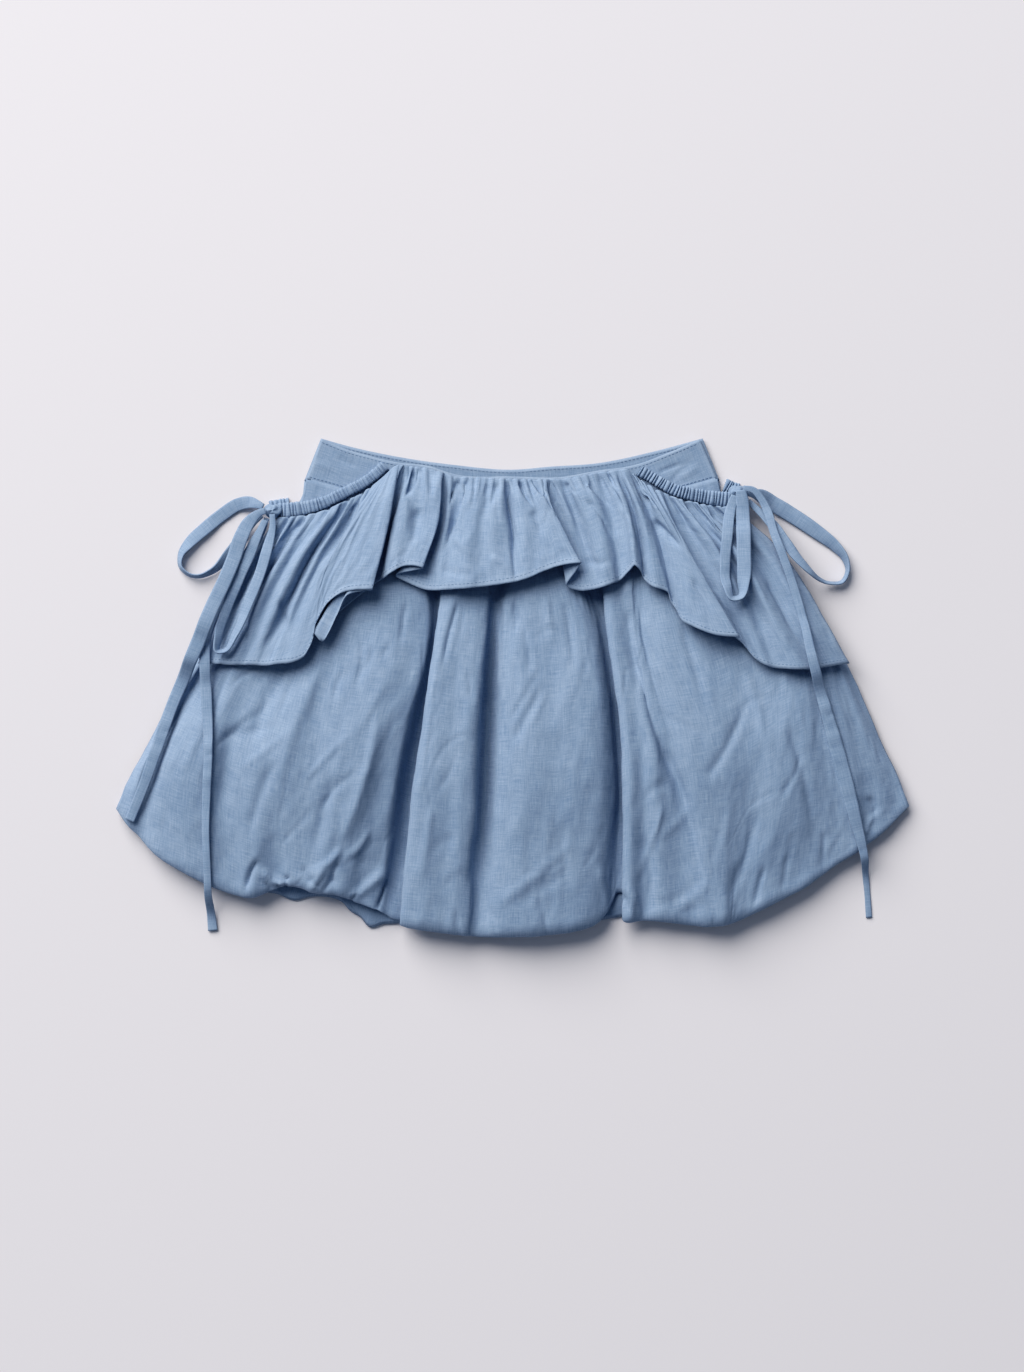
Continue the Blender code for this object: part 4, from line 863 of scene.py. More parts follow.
def waviness(u, v, wave):
    """An uneven height over a sheet, about as long as the wave says each way."""
    grid = np.random.default_rng(wave.seed)
    s, t = u / wave.across, v / wave.along
    values = grid.normal(size=(int(s.max()) + 3, int(t.max()) + 3))
    i, j = s.astype(int), t.astype(int)
    p, q = ease(s - i), ease(t - j)
    near = values[i, j] * (1 - q) + values[i, j + 1] * q
    far = values[i + 1, j] * (1 - q) + values[i + 1, j + 1] * q
    return wave.height * (near * (1 - p) + far * p)


def lifted(points, lift):
    """A sheet moved by a lift at each point, along the way it faces."""
    return points + facing(points) * lift[..., None]


def crumpled(points, crumples, height, where):
    """Add sharp uneven creases all over a sheet, as pressed cotton keeps from being folded."""
    u, v = measured(points)
    lift = np.zeros(u.shape)
    for crumple in crumples:
        ridges = np.empty(u.shape)
        for place in np.ndindex(u.shape):
            spot = Vector((u[place] / crumple.across, v[place] / crumple.along, crumple.seed))
            ridges[place] = noise.ridged_multi_fractal(spot, *RIDGES)
        lift += crumple.share * height * (ridges - ridges.mean())
    return lifted(points, lift * where)


def gathered(points, gathers):
    """Lift or sink a sheet along pleats that start at its seam and open out down the cloth."""
    top_x = points[:, 0, 0]
    _, v = measured(points)
    deepening = GATHER_AT_SEAM + (1.0 - GATHER_AT_SEAM) * ease(v / GATHER_DEEPENING)
    lift = np.zeros(v.shape)
    for gather in gathers:
        half = gather.width * (1.0 + GATHER_SPREAD * v)
        away = (top_x[:, None] - gather.x) / half
        fade = ease(1.0 - v / gather.reach) * deepening
        lift += gather.lift * fade * np.exp(-(away**2))
    return lifted(points, lift)


def creased(points, creases, where=1.0):
    """Press creases into a sheet, upwards or downwards."""
    lift = np.zeros(points.shape[:2])
    share = np.linspace(0.0, 1.0, CREASE_STEPS)
    for crease in creases:
        line = smooth_line(HALVES, np.reshape(crease[:6], (3, 2)), share)
        reach = CREASE_REACH * crease.width * max(1.0, crease.skew)
        low, high = line.min(axis=0) - reach, line.max(axis=0) + reach
        near = ((points[..., :2] > low) & (points[..., :2] < high)).all(axis=2)
        if not near.any():
            continue
        ahead = line[1:] - line[:-1]
        size = np.einsum("ij,ij->i", ahead, ahead)
        offset = points[near][:, None, :2] - line[None, :-1]
        t = np.clip(np.einsum("nij,ij->ni", offset, ahead) / size, 0.0, 1.0)
        gap = offset - t[..., None] * ahead
        away = np.linalg.norm(gap, axis=2)
        nearest = away.argmin(axis=1)
        pick = np.arange(len(nearest))
        heading, aside = ahead[nearest], gap[pick, nearest]
        left = heading[:, 0] * aside[:, 1] > heading[:, 1] * aside[:, 0]
        distance = away[pick, nearest] / (crease.width * np.where(left, crease.skew, 1.0))
        along = (nearest + t[pick, nearest]) / (CREASE_STEPS - 1)
        fade = ease(along / CREASE_START) * ease((1.0 - along) / CREASE_END)
        lift[near] += crease.lift * fade * (1.0 / (1.0 + distance**2) ** 2)
    return lifted(points, lift * where)


def new_piece(name, shape, material):
    """Put a bmesh in the scene as a piece of its own, smooth all over."""
    mesh = bpy.data.meshes.new(name)
    shape.to_mesh(mesh)
    shape.free()
    mesh.materials.append(material)
    mesh.polygons.foreach_set("use_smooth", [True] * len(mesh.polygons))
    piece = bpy.data.objects.new(name, mesh)
    bpy.context.scene.collection.objects.link(piece)
    return piece


def cloth_sheet(name, points, wall, material, hem=None, thin_share=1.0):
    """A thin cloth shell on points[column][row], with its own lengths as the UV map."""
    columns, rows = points.shape[0] - 1, points.shape[1] - 1
    shape = bmesh.new()
    bmesh.ops.create_grid(shape, x_segments=columns, y_segments=rows, size=1.0)
    u, v = measured(points)
    place = shape.loops.layers.uv.new("cloth")
    column_of = np.empty(len(shape.verts), int)
    row_of = np.empty(len(shape.verts), int)
    for vertex in shape.verts:
        column = int(round((vertex.co.x + 1.0) / 2.0 * columns))
        row = int(round((1.0 - vertex.co.y) / 2.0 * rows))
        column_of[vertex.index], row_of[vertex.index] = column, row
        vertex.co = points[column, row] * MM
    for face in shape.faces:
        for loop in face.loops:
            index = loop.vert.index
            column, row = column_of[index], row_of[index]
            loop[place].uv = (u[column, row] * MM, v[column, row] * MM)
    piece = new_piece(name, shape, material)
    thick = piece.modifiers.new("cloth wall", "SOLIDIFY")
    thick.thickness = wall * MM
    thick.offset = 0.0
    if hem is not None:
        band = piece.vertex_groups.new(name="hem")
        weight = hem[column_of, row_of]
        for value in np.unique(np.round(weight, 1)):
            chosen = np.nonzero(np.abs(weight - value) < 0.051)[0]
            band.add([int(index) for index in chosen], float(value), "REPLACE")
        thick.vertex_group = "hem"
        thick.thickness_vertex_group = thin_share
        worn = piece.data.attributes.new("worn", "FLOAT", "POINT")
        worn.data.foreach_set("value", weight.astype(float))
    return piece


def stand_for(piece, node):
    """Hang a piece on the root body and hide the imported solid that it stands for."""
    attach(piece, "root")
    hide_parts(node)


def lay(piece, node):
    """Hang a sheet on the root body and hide the imported solid that it stands for."""
    stand_for(piece, node)


def hem_weight(points, **bands):
    """How much each point lies in a turned band: how wide the band at each side's edge is."""
    u, v = measured(points)
    away = {"foot": v[:, -1:] - v, "head": v, "left": u, "right": u.max() - u}
    weight = np.zeros(v.shape)
    for side, width in bands.items():
        weight = np.maximum(weight, 1.0 - ease((away[side] - width) / BAND_STEP))
    return weight


def yoke_seam(span, count):
    """The seam between yoke and skirt, a shallow arc that sags in the middle."""
    along = np.linspace(0.0, 1.0, count)
    x = span.left_x + (span.right_x - span.left_x) * along
    y = span.left_y + (span.right_y - span.left_y) * along
    return np.column_stack([x, y - span.sag * np.sin(math.pi * along)])


def waist_band(edge, level, arch, span):
    """A curved band under a waist edge: its top edge, and its seam a yoke's depth below."""
    top = line_points(edge, YOKE_COLUMNS + 1)
    along = np.linspace(0.0, 1.0, YOKE_COLUMNS + 1)
    seam = yoke_seam(span, YOKE_COLUMNS + 1)
    lift = level + arch * np.sin(math.pi * along)
    rows = []
    for share in np.linspace(0.0, 1.0, YOKE_ROWS + 1):
        place = top * (1.0 - share) + seam * share - (0.0, YOKE_LAP * share)
        lap = ease((share - YOKE_LAP_FROM) / (1.0 - YOKE_LAP_FROM))
        rows.append(np.column_stack([place, lift + YOKE_LAP_RISE * lap]))
    return np.array(rows).transpose(1, 0, 2)


def hem_roll(hem, heading, over, under, roll):
    """The rolled lower edge: half a turn round, then the tuck back inside."""
    middle, half = (over + under) / 2.0, (over - under) / 2.0
    angle = math.pi * (0.5 - np.arange(1, ROLL_ROWS + 1) / ROLL_ROWS)
    back = roll * (1.0 - np.cos(angle))
    turned = np.column_stack([hem - heading * back[:, None], middle + half * np.sin(angle)])
    inward = roll + HEM_TUCK * np.arange(1, TUCK_ROWS + 1) / TUCK_ROWS
    tuck = np.column_stack([hem - heading * inward[:, None], np.full(TUCK_ROWS, under)])
    return np.concatenate([turned, tuck])


def skirt_front_points():
    """The front of the skirt: its folds from the yoke to the hem, the rolled hem and the tuck."""
    seam = yoke_seam(YOKE_FRONT_SPAN, len(SKIRT_FOLDS)) - (0.0, SEAM_STEP)
    steps = np.linspace(0.0, SKIRT_STATIONS[-1], SKIRT_ROWS + 1)
    level = YOKE_LEVEL_FRONT + FRONT_RISE
    columns = []
    for place, fold in zip(seam, SKIRT_FOLDS):
        top = np.array([*place, level + FRONT_FOLD_SHARE * (fold.high_z - level)])
        high = np.array([fold.high_x, HIGH_LINE_Y, fold.high_z])
        side = top + (high - top) * SIDE_SHARES
        low = np.array([fold.low_x, LOW_LINE_Y, fold.low_z])
        hem = np.array([fold.hem_x, fold.hem_y])
        heading = (hem - low[:2]) / np.linalg.norm(hem - low[:2])
        under = min(HEM_UNDER_LEVEL, fold.hem_z - HEM_WALL_ROOM)
        roll = min(HEM_ROLL, HEM_ROLL_SHARE * (fold.hem_z - under))
        turn = np.append(hem - heading * roll, fold.hem_z)
        line = smooth_line(SKIRT_STATIONS, (top, side, high, low, turn), steps)
        columns.append(np.concatenate([line, hem_roll(hem, heading, fold.hem_z, under, roll)]))
    return across_folds(columns, SKIRT_ACROSS)


def skirt_back_points():
    """The back of the skirt, flat on the floor and over the back ruffle, its hem turned in."""
    seam = yoke_seam(YOKE_BACK_SPAN, BACK_COLUMNS + 1) - (0.0, SEAM_STEP)
    hem = line_points(BACK_HEM, BACK_COLUMNS + 1)
    ahead = hem - seam
    heading = ahead / np.linalg.norm(ahead, axis=1)[:, None]
    share = np.linspace(0.0, 1.0, BACK_ROWS + 1) ** BACK_CROWDING
    side = np.interp(share, BACK_ROW_SHARES, BACK_SIDE_SHARES)
    run = hem - heading * BACK_HEM_RISE - seam
    x = seam[:, :1] + run[:, :1] * side[None]
    y = seam[:, 1:] + run[:, 1:] * share[None]
    climb = THIN_WALL + SEAM_GAP + 2 * FLOOR_GAP
    z = WALL / 2 + climb * ease((y - BACK_STEP_Y) / BACK_STEP_RUN)
    turned = []
    turns = ((0.0, 0.5), (BACK_HEM_RISE, 1.0), (BACK_HEM_FOLD / 2, 1.0), (BACK_HEM_FOLD, 1.0))
    for back, rise in turns:
        level = np.full(len(hem), WALL / 2 + BACK_HEM_RISE * rise)
        turned.append(np.column_stack([hem - heading * back, level]))
    flat = np.stack([x, y, z], axis=-1)
    return np.concatenate([flat, np.array(turned).transpose(1, 0, 2)], axis=1)


def back_ruffle_points():
    """The ruffle behind, flat between the floor and the skirt."""
    top = line_points(BACK_RUFFLE_TOP, BACK_COLUMNS + 1)
    hem = line_points(BACK_RUFFLE_HEM, BACK_COLUMNS + 1)
    share = np.linspace(0.0, 1.0, BACK_RUFFLE_ROWS + 1)[None, :, None]
    flat = top[:, None] * (1 - share) + hem[:, None] * share
    level = np.full(flat.shape[:2] + (1,), THIN_WALL / 2 + FLOOR_GAP)
    return np.concatenate([flat, level], axis=-1)


def ruffle_points(cover, surface):
    """The ruffle in front, each fold standing off the cloth under it by its own rise."""
    steps = np.linspace(0.0, 1.0, RUFFLE_ROWS + 1)
    columns = []
    for fold in RUFFLE_FOLDS:
        top = (fold.top_x, height_on(RUFFLE_TOP, fold.top_x))
        line = (top, (fold.mid_x, fold.mid_y), (fold.hem_x, fold.hem_y))
        cased = ease((abs(fold.top_x) - RUFFLE_CASED_X) / RUFFLE_CASED_RUN)
        rise = RUFFLE_TOP_SHARE * fold.mid_rise - RUFFLE_TOP_DROP + RUFFLE_CASED_RISE * cased
        rises = (rise, RUFFLE_EARLY_SHARE * fold.mid_rise, fold.mid_rise, fold.hem_rise)
        across = smooth_line(HALVES, line, steps)
        upward = smooth_line((0.0, RUFFLE_EARLY, 0.5, 1.0), rises, steps)
        columns.append(np.column_stack([across, upward]))
    points = across_folds(columns, RUFFLE_ACROSS)
    points[..., 2] += cover.read(surface, points[..., 0], points[..., 1]) + WALL / 2 + SEAM_GAP
    return points


def rippled(points, waves, where=1.0):
    """Add loose waviness to a sheet, along the way it faces."""
    u, v = measured(points)
    return lifted(points, sum(waviness(u, v, wave) for wave in waves) * where)


def headings(path):
    """The way that a flat path runs at each of its points, and the way to its left."""
    ahead = np.gradient(path, axis=0)
    ahead /= np.linalg.norm(ahead, axis=1)[:, None]
    return ahead, np.column_stack([-ahead[:, 1], ahead[:, 0]])


def casing_rings(edge, ribs, level_under, seed, knot):
    """The surface of an elastic casing, ruched into uneven ribs across its length."""
    chance = np.random.default_rng(seed)
    count = RIB_STEPS * ribs + 1
    middle = line_points(edge, count)
    ahead, side = headings(middle)
    level = level_under(middle) + SEAM_GAP + CASING_LEVEL / 2 - CASING_SINK
    phase = np.linspace(0.0, ribs, count)

    def uneven(low, high):
        """A value that wanders between these from rib to rib."""
        return np.interp(phase, np.arange(ribs + 1), chance.uniform(low, high, ribs + 1))

    rib = np.abs(np.sin(math.pi * (phase + uneven(-RIB_SHIFT, RIB_SHIFT))))
    swell = (rib**RIB_ROUNDNESS) * uneven(*RIB_HEIGHTS)
    slant = uneven(-RIB_SLANT, RIB_SLANT)
    angle = 2 * math.pi * (np.arange(CASING_CORNERS) + 0.5) / CASING_CORNERS
    flatness = np.sign(np.cos(angle)) * np.abs(np.cos(angle)) ** CASING_FLATNESS
    near = ease(1.0 - np.linalg.norm(middle - knot, axis=1) / CASING_FLARE_RUN)
    half = (CASING_WIDTH + CASING_FLARE * near) / 2 - RIB_DIP_ACROSS + RIB_SWELL_ACROSS * swell
    across = flatness[None] * half[:, None]
    upward = np.sin(angle)[None] * (CASING_LEVEL / 2 - RIB_DIP + RIB_SWELL * swell[:, None])
    upward = np.where(upward < 0, np.maximum(upward, -CASING_LEVEL / 2), upward)
    place = middle[:, None] + side[:, None] * across[..., None]
    place = place + ahead[:, None] * (slant[:, None] * flatness[None] * RIB_LEAN)[..., None]
    return np.concatenate([place, (level[:, None] + upward)[..., None]], axis=-1)


def tube(name, rings, material):
    """A closed piece round rings[step][corner], with its own lengths as the UV map."""
    steps, corners = rings.shape[:2]
    shape = bmesh.new()
    bmesh.ops.create_cone(
        shape, cap_ends=True, cap_tris=False, segments=corners, radius1=1.0, radius2=1.0, depth=2.0
    )
    upright = [edge for edge in shape.edges if abs(edge.verts[0].co.z - edge.verts[1].co.z) > 1.0]
    bmesh.ops.subdivide_edges(shape, edges=upright, cuts=steps - 2, use_grid_fill=False)
    along = run_lengths(rings.mean(axis=1))
    place = shape.loops.layers.uv.new("cloth")
    where = {}
    for vertex in shape.verts:
        step = int(round((vertex.co.z + 1.0) / 2.0 * (steps - 1)))
        corner = int(round(math.atan2(vertex.co.y, vertex.co.x) / (2 * math.pi) * corners)) % corners
        where[vertex] = (step, corner)
    round_it = run_lengths(np.append(rings[steps // 2], rings[steps // 2][:1], axis=0))
    for face in shape.faces:
        marks = [where[loop.vert][1] for loop in face.loops]
        wraps = len(face.loops) == 4 and max(marks) - min(marks) > 1
        for loop in face.loops:
            step, corner = where[loop.vert]
            if wraps and corner == 0:
                corner = corners
            loop[place].uv = (round_it[corner] * MM, along[step] * MM)
    for vertex, (step, corner) in where.items():
        vertex.co = rings[step, corner] * MM
    bmesh.ops.recalc_face_normals(shape, faces=shape.faces)
    return new_piece(name, shape, material)


def seam_line(points, away, from_foot=True):
    """The line this far from a sheet's foot or head, and the way the cloth faces along it."""
    _, v = measured(points)
    faces = facing(points)
    line = []
    for column, lengths in enumerate(v):
        at = lengths[-1] - away if from_foot else away
        sides = (points[column], faces[column])
        line.append([np.interp(at, lengths, values[:, k]) for values in sides for k in range(3)])
    return np.array(line)


def sew(shape, line, out):
    """Run stitches along a line, each a short stretch of thread lying on the cloth."""
    length = bpy.context.scene.skirt_cloth.stitch / MM
    run = run_lengths(line[:, :3])
    for at in np.arange(length, run[-1] - length, length * STITCH_PITCH):
        spots = (at, at + 0.5 * length)
        here, there = ([np.interp(spot, run, line[:, k]) for k in range(6)] for spot in spots)
        up = Vector(here[3:]).normalized()
        ahead = (Vector(there[:3]) - Vector(here[:3])).normalized()
        aside = up.cross(ahead).normalized()
        turn = Matrix((ahead, aside, ahead.cross(aside))).transposed().to_4x4()
        size = Matrix.Diagonal((length / 2, THREAD / 2, THREAD / 2, 1.0 / MM)) * MM
        place = Matrix.Translation((Vector(here[:3]) + up * out) * MM)
        matrix = place @ turn @ size
        bmesh.ops.create_uvsphere(shape, u_segments=6, v_segments=4, radius=1.0, matrix=matrix)


def softened(values):
    """Each value eased towards its neighbours."""
    return np.convolve(np.pad(values, 1, "edge"), (0.25, 0.5, 0.25), "valid")


def ribbon_points(tie, cover):
    """A tie's surface: across its width, along its route, on whatever lies under it."""
    places = np.array(tie.route, float)
    lengths = run_lengths(places[:, :2])
    count = max(8, int(round(lengths[-1] / RIBBON_SPACING)) + 1)
    path = smooth_line(lengths, places, np.linspace(0.0, lengths[-1], count))
    _, side = headings(path[:, :2])
    width = path[:, 2]
    roll = np.radians(path[:, 3])
    surface = cover.widened(TIE_REACH, MAP_CELL)
    ground = cover.read(surface, path[:, 0], path[:, 1])
    for _ in range(TIE_BRIDGING):
        ground = np.maximum(ground, softened(ground))
    level = ground + tie.lift + TIE_WALL / 2 + np.sin(roll) * width / 2
    knots = np.array((LEFT_KNOT, RIGHT_KNOT))
    away = np.linalg.norm(path[:, None, :2] - knots, axis=2).min(axis=1)
    free = ease((away - KNOT_SIZE[0] / 2) / TIE_RISE_RUN)
    level = tie.end_level * (1.0 - free) + level * free
    for _ in range(TIE_SOFTENING):
        level = softened(level)
    rows = []
    for share in np.linspace(-0.5, 0.5, TIE_COLUMNS):
        crown = TIE_CROWN * (1.0 - (2.0 * share) ** 2)
        flat = side * (np.cos(roll) * width * share - np.sin(roll) * crown)[:, None]
        rise = np.sin(roll) * width * share + np.cos(roll) * crown
        rows.append(np.column_stack([path[:, :2] + flat, level + rise]))
    return np.array(rows).transpose(1, 0, 2)[:, ::-1]


def knot_shape(centre):
    """A pulled knot: a lump with the turns of the ribbon round it, pinched in the middle."""
    shape = bmesh.new()
    bmesh.ops.create_uvsphere(shape, u_segments=40, v_segments=26, radius=0.5)
    for vertex in shape.verts:
        x, y, z = vertex.co
        wrap = 1.0 + KNOT_WRAP * math.sin(KNOT_TURNS * math.atan2(y, x) + KNOT_TWIST * z)
        pinch = 1.0 - KNOT_PINCH * math.exp(-((x / KNOT_PINCH_WIDTH) ** 2))
        vertex.co.x = (centre[0] + x * KNOT_SIZE[0] * wrap) * MM
        vertex.co.y = (centre[1] + y * KNOT_SIZE[1] * wrap * pinch) * MM
        vertex.co.z = (KNOT_LEVEL + z * KNOT_SIZE[2] * wrap) * MM
    place = shape.loops.layers.uv.new("cloth")
    for face in shape.faces:
        for loop in face.loops:
            loop[place].uv = (loop.vert.co.x + loop.vert.co.z, loop.vert.co.y)
    return shape


def new_group(name, inputs, outputs):
    """An empty shader node group with these sockets, and its two end nodes."""
    tree = bpy.data.node_groups.new(name, "ShaderNodeTree")
    for label, kind, value in inputs:
        socket = tree.interface.new_socket(label, in_out="INPUT", socket_type=f"NodeSocket{kind}")
        if value is not None:
            socket.default_value = value
    for label, kind in outputs:
        tree.interface.new_socket(label, in_out="OUTPUT", socket_type=f"NodeSocket{kind}")
    return tree, tree.nodes.new("NodeGroupInput"), tree.nodes.new("NodeGroupOutput")


def fill(tree, node, values):
    """Link a node's inputs to sockets, or set them to plain values, by their names or places."""
    for label, value in values.items():
        if isinstance(value, bpy.types.NodeSocket):
            tree.links.new(value, node.inputs[label])
        else:
            node.inputs[label].default_value = value


def joined(tree, kind, *values, **settings):
    """A node of this kind with its settings, its inputs filled in order."""
    node = tree.nodes.new(kind)
    for label, value in settings.items():
        setattr(node, label, value)
    fill(tree, node, dict(enumerate(values)))
    return node


def sums(tree, operation, *values):
    """The result socket of a math node."""
    return joined(tree, "ShaderNodeMath", *values, operation=operation).outputs[0]


def blended(tree, share, low, high):
    """Two colours mixed by a share, as a socket."""
    blend = joined(tree, "ShaderNodeMix", data_type="RGBA", clamp_factor=True)
    fill(tree, blend, {"Factor": share, "A": low, "B": high})
    return blend.outputs["Result"]


def stretched_noise(tree, lengths, across, along, detail):
    """Noise about this long across and along the cloth, in metres."""
    stretch = (1 / across, 1 / along, 1.0)
    scaled = joined(tree, "ShaderNodeVectorMath", lengths, stretch, operation="MULTIPLY")
    cloud = joined(tree, "ShaderNodeTexNoise", scaled.outputs[0], noise_dimensions="2D")
    fill(tree, cloud, {"Scale": 1.0, "Detail": detail})
    return cloud.outputs[0]


def weave_group():
    """Chambray: white yarn one way over blue yarn the other, with slubs and uneven dye."""
    tree, start, end = new_group(
        "chambray_weave",
        [
            ("Lengths", "Vector", None),
            ("Light yarn", "Color", (0.5, 0.6, 0.7, 1.0)),
            ("Dark yarn", "Color", (0.2, 0.3, 0.4, 1.0)),
            ("Yarn width", "Float", 0.0004),
            ("Slub", "Float", 0.3),
            ("Mottle", "Float", 0.15),
        ],
        [("Color", "Color"), ("Height", "Float"), ("Roughness", "Float")],
    )
    lengths = start.outputs["Lengths"]
    parts = joined(tree, "ShaderNodeSeparateXYZ", lengths)
    turn = sums(tree, "DIVIDE", math.pi, start.outputs["Yarn width"])
    across = sums(tree, "SINE", sums(tree, "MULTIPLY", parts.outputs[0], turn))
    along = sums(tree, "SINE", sums(tree, "MULTIPLY", parts.outputs[1], turn))
    over = sums(tree, "MULTIPLY", across, along)
    warp, weft, speck, cloud = (stretched_noise(tree, lengths, *sizes) for sizes in WEAVE_NOISES)
    slubs = sums(tree, "SUBTRACT", sums(tree, "ADD", warp, weft), 1.0)
    slubs = sums(tree, "MULTIPLY", slubs, start.outputs["Slub"])
    dye = sums(tree, "SUBTRACT", sums(tree, "ADD", speck, cloud), 1.0)
    dye = sums(tree, "MULTIPLY", dye, start.outputs["Mottle"])
    mix = sums(tree, "MULTIPLY_ADD", over, WEAVE_CONTRAST, WEAVE_MIDDLE)
    mix = sums(tree, "ADD", sums(tree, "ADD", mix, slubs), dye)
    colour = blended(tree, mix, start.outputs["Dark yarn"], start.outputs["Light yarn"])
    height = sums(tree, "MULTIPLY_ADD", over, WEAVE_RELIEF, slubs)
    roughness = sums(tree, "MULTIPLY_ADD", slubs, SLUB_SHEEN, WEAVE_ROUGHNESS)
    fill(tree, end, {"Color": colour, "Height": height, "Roughness": roughness})
    return tree


def crease_group():
    """Crisp uneven creases left in pressed cotton, in patches."""
    inputs = [("Lengths", "Vector", None), ("Spacing", "Float", 0.03)]
    tree, start, end = new_group("pressed_creases", inputs, [("Height", "Float")])
    lengths = start.outputs["Lengths"]
    bend = sums(tree, "MULTIPLY", stretched_noise(tree, lengths, *BEND_NOISE), PRESSED_BEND)
    moved = joined(tree, "ShaderNodeVectorMath", lengths, PRESSED_STRETCH, operation="MULTIPLY")
    moved = joined(tree, "ShaderNodeVectorMath", moved.outputs[0], bend, operation="ADD")
    spread = joined(tree, "ShaderNodeVectorMath", moved.outputs[0], operation="SCALE")
    fill(tree, spread, {"Scale": sums(tree, "DIVIDE", 1.0, start.outputs["Spacing"])})
    cells = joined(tree, "ShaderNodeTexVoronoi", voronoi_dimensions="2D", feature="DISTANCE_TO_EDGE")
    fill(tree, cells, {"Scale": 1.0, "Vector": spread.outputs[0]})
    patch = stretched_noise(tree, lengths, *PATCH_NOISE)
    spans = ((cells.outputs["Distance"], *PRESSED_LINES), (patch, *PRESSED_PATCHES))
    line, patch = (
        joined(tree, "ShaderNodeMapRange", *span, interpolation_type="SMOOTHSTEP").outputs[0]
        for span in spans
    )
    fill(tree, end, {"Height": sums(tree, "MULTIPLY", line, patch)})
    return tree


def worn_group():
    """Hems and seams rub paler than the open cloth."""
    tree, start, end = new_group(
        "worn_edges",
        [
            ("Color", "Color", (0.5, 0.5, 0.5, 1.0)),
            ("Worn", "Float", 0.0),
            ("Pale", "Color", (0.6, 0.68, 0.78, 1.0)),
            ("Amount", "Float", 0.2),
        ],
        [("Color", "Color")],
    )
    share = sums(tree, "MULTIPLY", start.outputs["Worn"], start.outputs["Amount"])
    fill(tree, end, {"Color": blended(tree, share, start.outputs["Color"], start.outputs["Pale"])})
    return tree


def grouped(tree, name, make, values):
    """A node of a shared group, made on its first use, with its inputs filled."""
    node = tree.nodes.new("ShaderNodeGroup")
    node.node_tree = bpy.data.node_groups.get(name) or make()
    fill(tree, node, values)
    return node


def bumped(tree, strength, distance, height, normal=None):
    """The way the surface faces with this height on it, as a socket."""
    bump = joined(tree, "ShaderNodeBump")
    fill(tree, bump, {"Strength": strength, "Distance": distance, "Height": height})
    if normal is not None:
        fill(tree, bump, {"Normal": normal})
    return bump.outputs[0]


def chambray(name, light, dark, mottle, bump):
    """A cloth material of its own shades, on the shared weave."""
    cloth, colours = bpy.context.scene.skirt_cloth, bpy.context.scene.skirt_colour
    material = bpy.data.materials.new(name)
    material.use_nodes = True
    tree = material.node_tree
    lengths = joined(tree, "ShaderNodeUVMap", uv_map="cloth").outputs[0]
    yarns = {"Light yarn": (*light, 1.0), "Dark yarn": (*dark, 1.0), "Yarn width": cloth.yarn}
    uneven = {"Lengths": lengths, "Slub": cloth.slub, "Mottle": mottle}
    weave = grouped(tree, "chambray_weave", weave_group, {**yarns, **uneven})
    mask = joined(tree, "ShaderNodeAttribute", attribute_name="worn").outputs["Fac"]
    wear = {"Color": weave.outputs["Color"], "Worn": mask, "Amount": colours.wear}
    worn = grouped(tree, "worn_edges", worn_group, wear)
    spacing = {"Lengths": lengths, "Spacing": cloth.crease_spacing}
    creases = grouped(tree, "pressed_creases", crease_group, spacing)
    pressed = bumped(tree, bump, PRESSED_BUMP, creases.outputs["Height"])
    relief = bumped(tree, bump, WEAVE_BUMP, weave.outputs["Height"], pressed)
    shader = tree.nodes["Principled BSDF"]
    tree.links.new(worn.outputs["Color"], shader.inputs["Base Color"])
    tree.links.new(weave.outputs["Roughness"], shader.inputs["Roughness"])
    tree.links.new(relief, shader.inputs["Normal"])
    shader.inputs["Metallic"].default_value = 0.0
    shader.inputs["Sheen Weight"].default_value = 0.06
    shader.inputs["Sheen Roughness"].default_value = 0.6
    shader.inputs["Specular IOR Level"].default_value = 0.25
    return material


def cloth_material(kind):
    """The material of a kind of piece, made the first time it is asked for."""
    colours = bpy.context.scene.skirt_colour
    mottle, bump = MOTTLE_AND_BUMP[kind]
    shades = ("thread", "thread") if kind == "thread" else (f"{kind}_light", f"{kind}_dark")
    light, dark = (getattr(colours, shade) for shade in shades)
    name = f"chambray_{kind}_cloth"
    return bpy.data.materials.get(name) or chambray(name, light, dark, mottle, bump)


class SkirtCloth(bpy.types.PropertyGroup):
    """Sizes of the cloth and of its sewing."""

    wall: bpy.props.FloatProperty(
        name="Cloth", description="Thickness of the cloth as it shows", default=0.0009, unit="LENGTH"
    )
    crease_spacing: bpy.props.FloatProperty(
        name="Crease spacing", description="Distance between fine pressed creases",
        default=0.032, unit="LENGTH",
    )
    hem_band: bpy.props.FloatProperty(
        name="Hem", description="Width of the turned hem of the ruffle", default=0.0045, unit="LENGTH"
    )
    yarn: bpy.props.FloatProperty(
        name="Yarn", description="Width of one yarn", default=0.00042, unit="LENGTH", precision=5
    )
    slub: bpy.props.FloatProperty(
        name="Slub", description="How uneven the yarns are", default=0.5, subtype="FACTOR"
    )
    crumple: bpy.props.FloatProperty(
        name="Crumple", description="Height of the small creases all over", default=0.0008, unit="LENGTH"
    )
    stitch: bpy.props.FloatProperty(
        name="Stitch", description="Length of one stitch", default=0.0026, unit="LENGTH"
    )


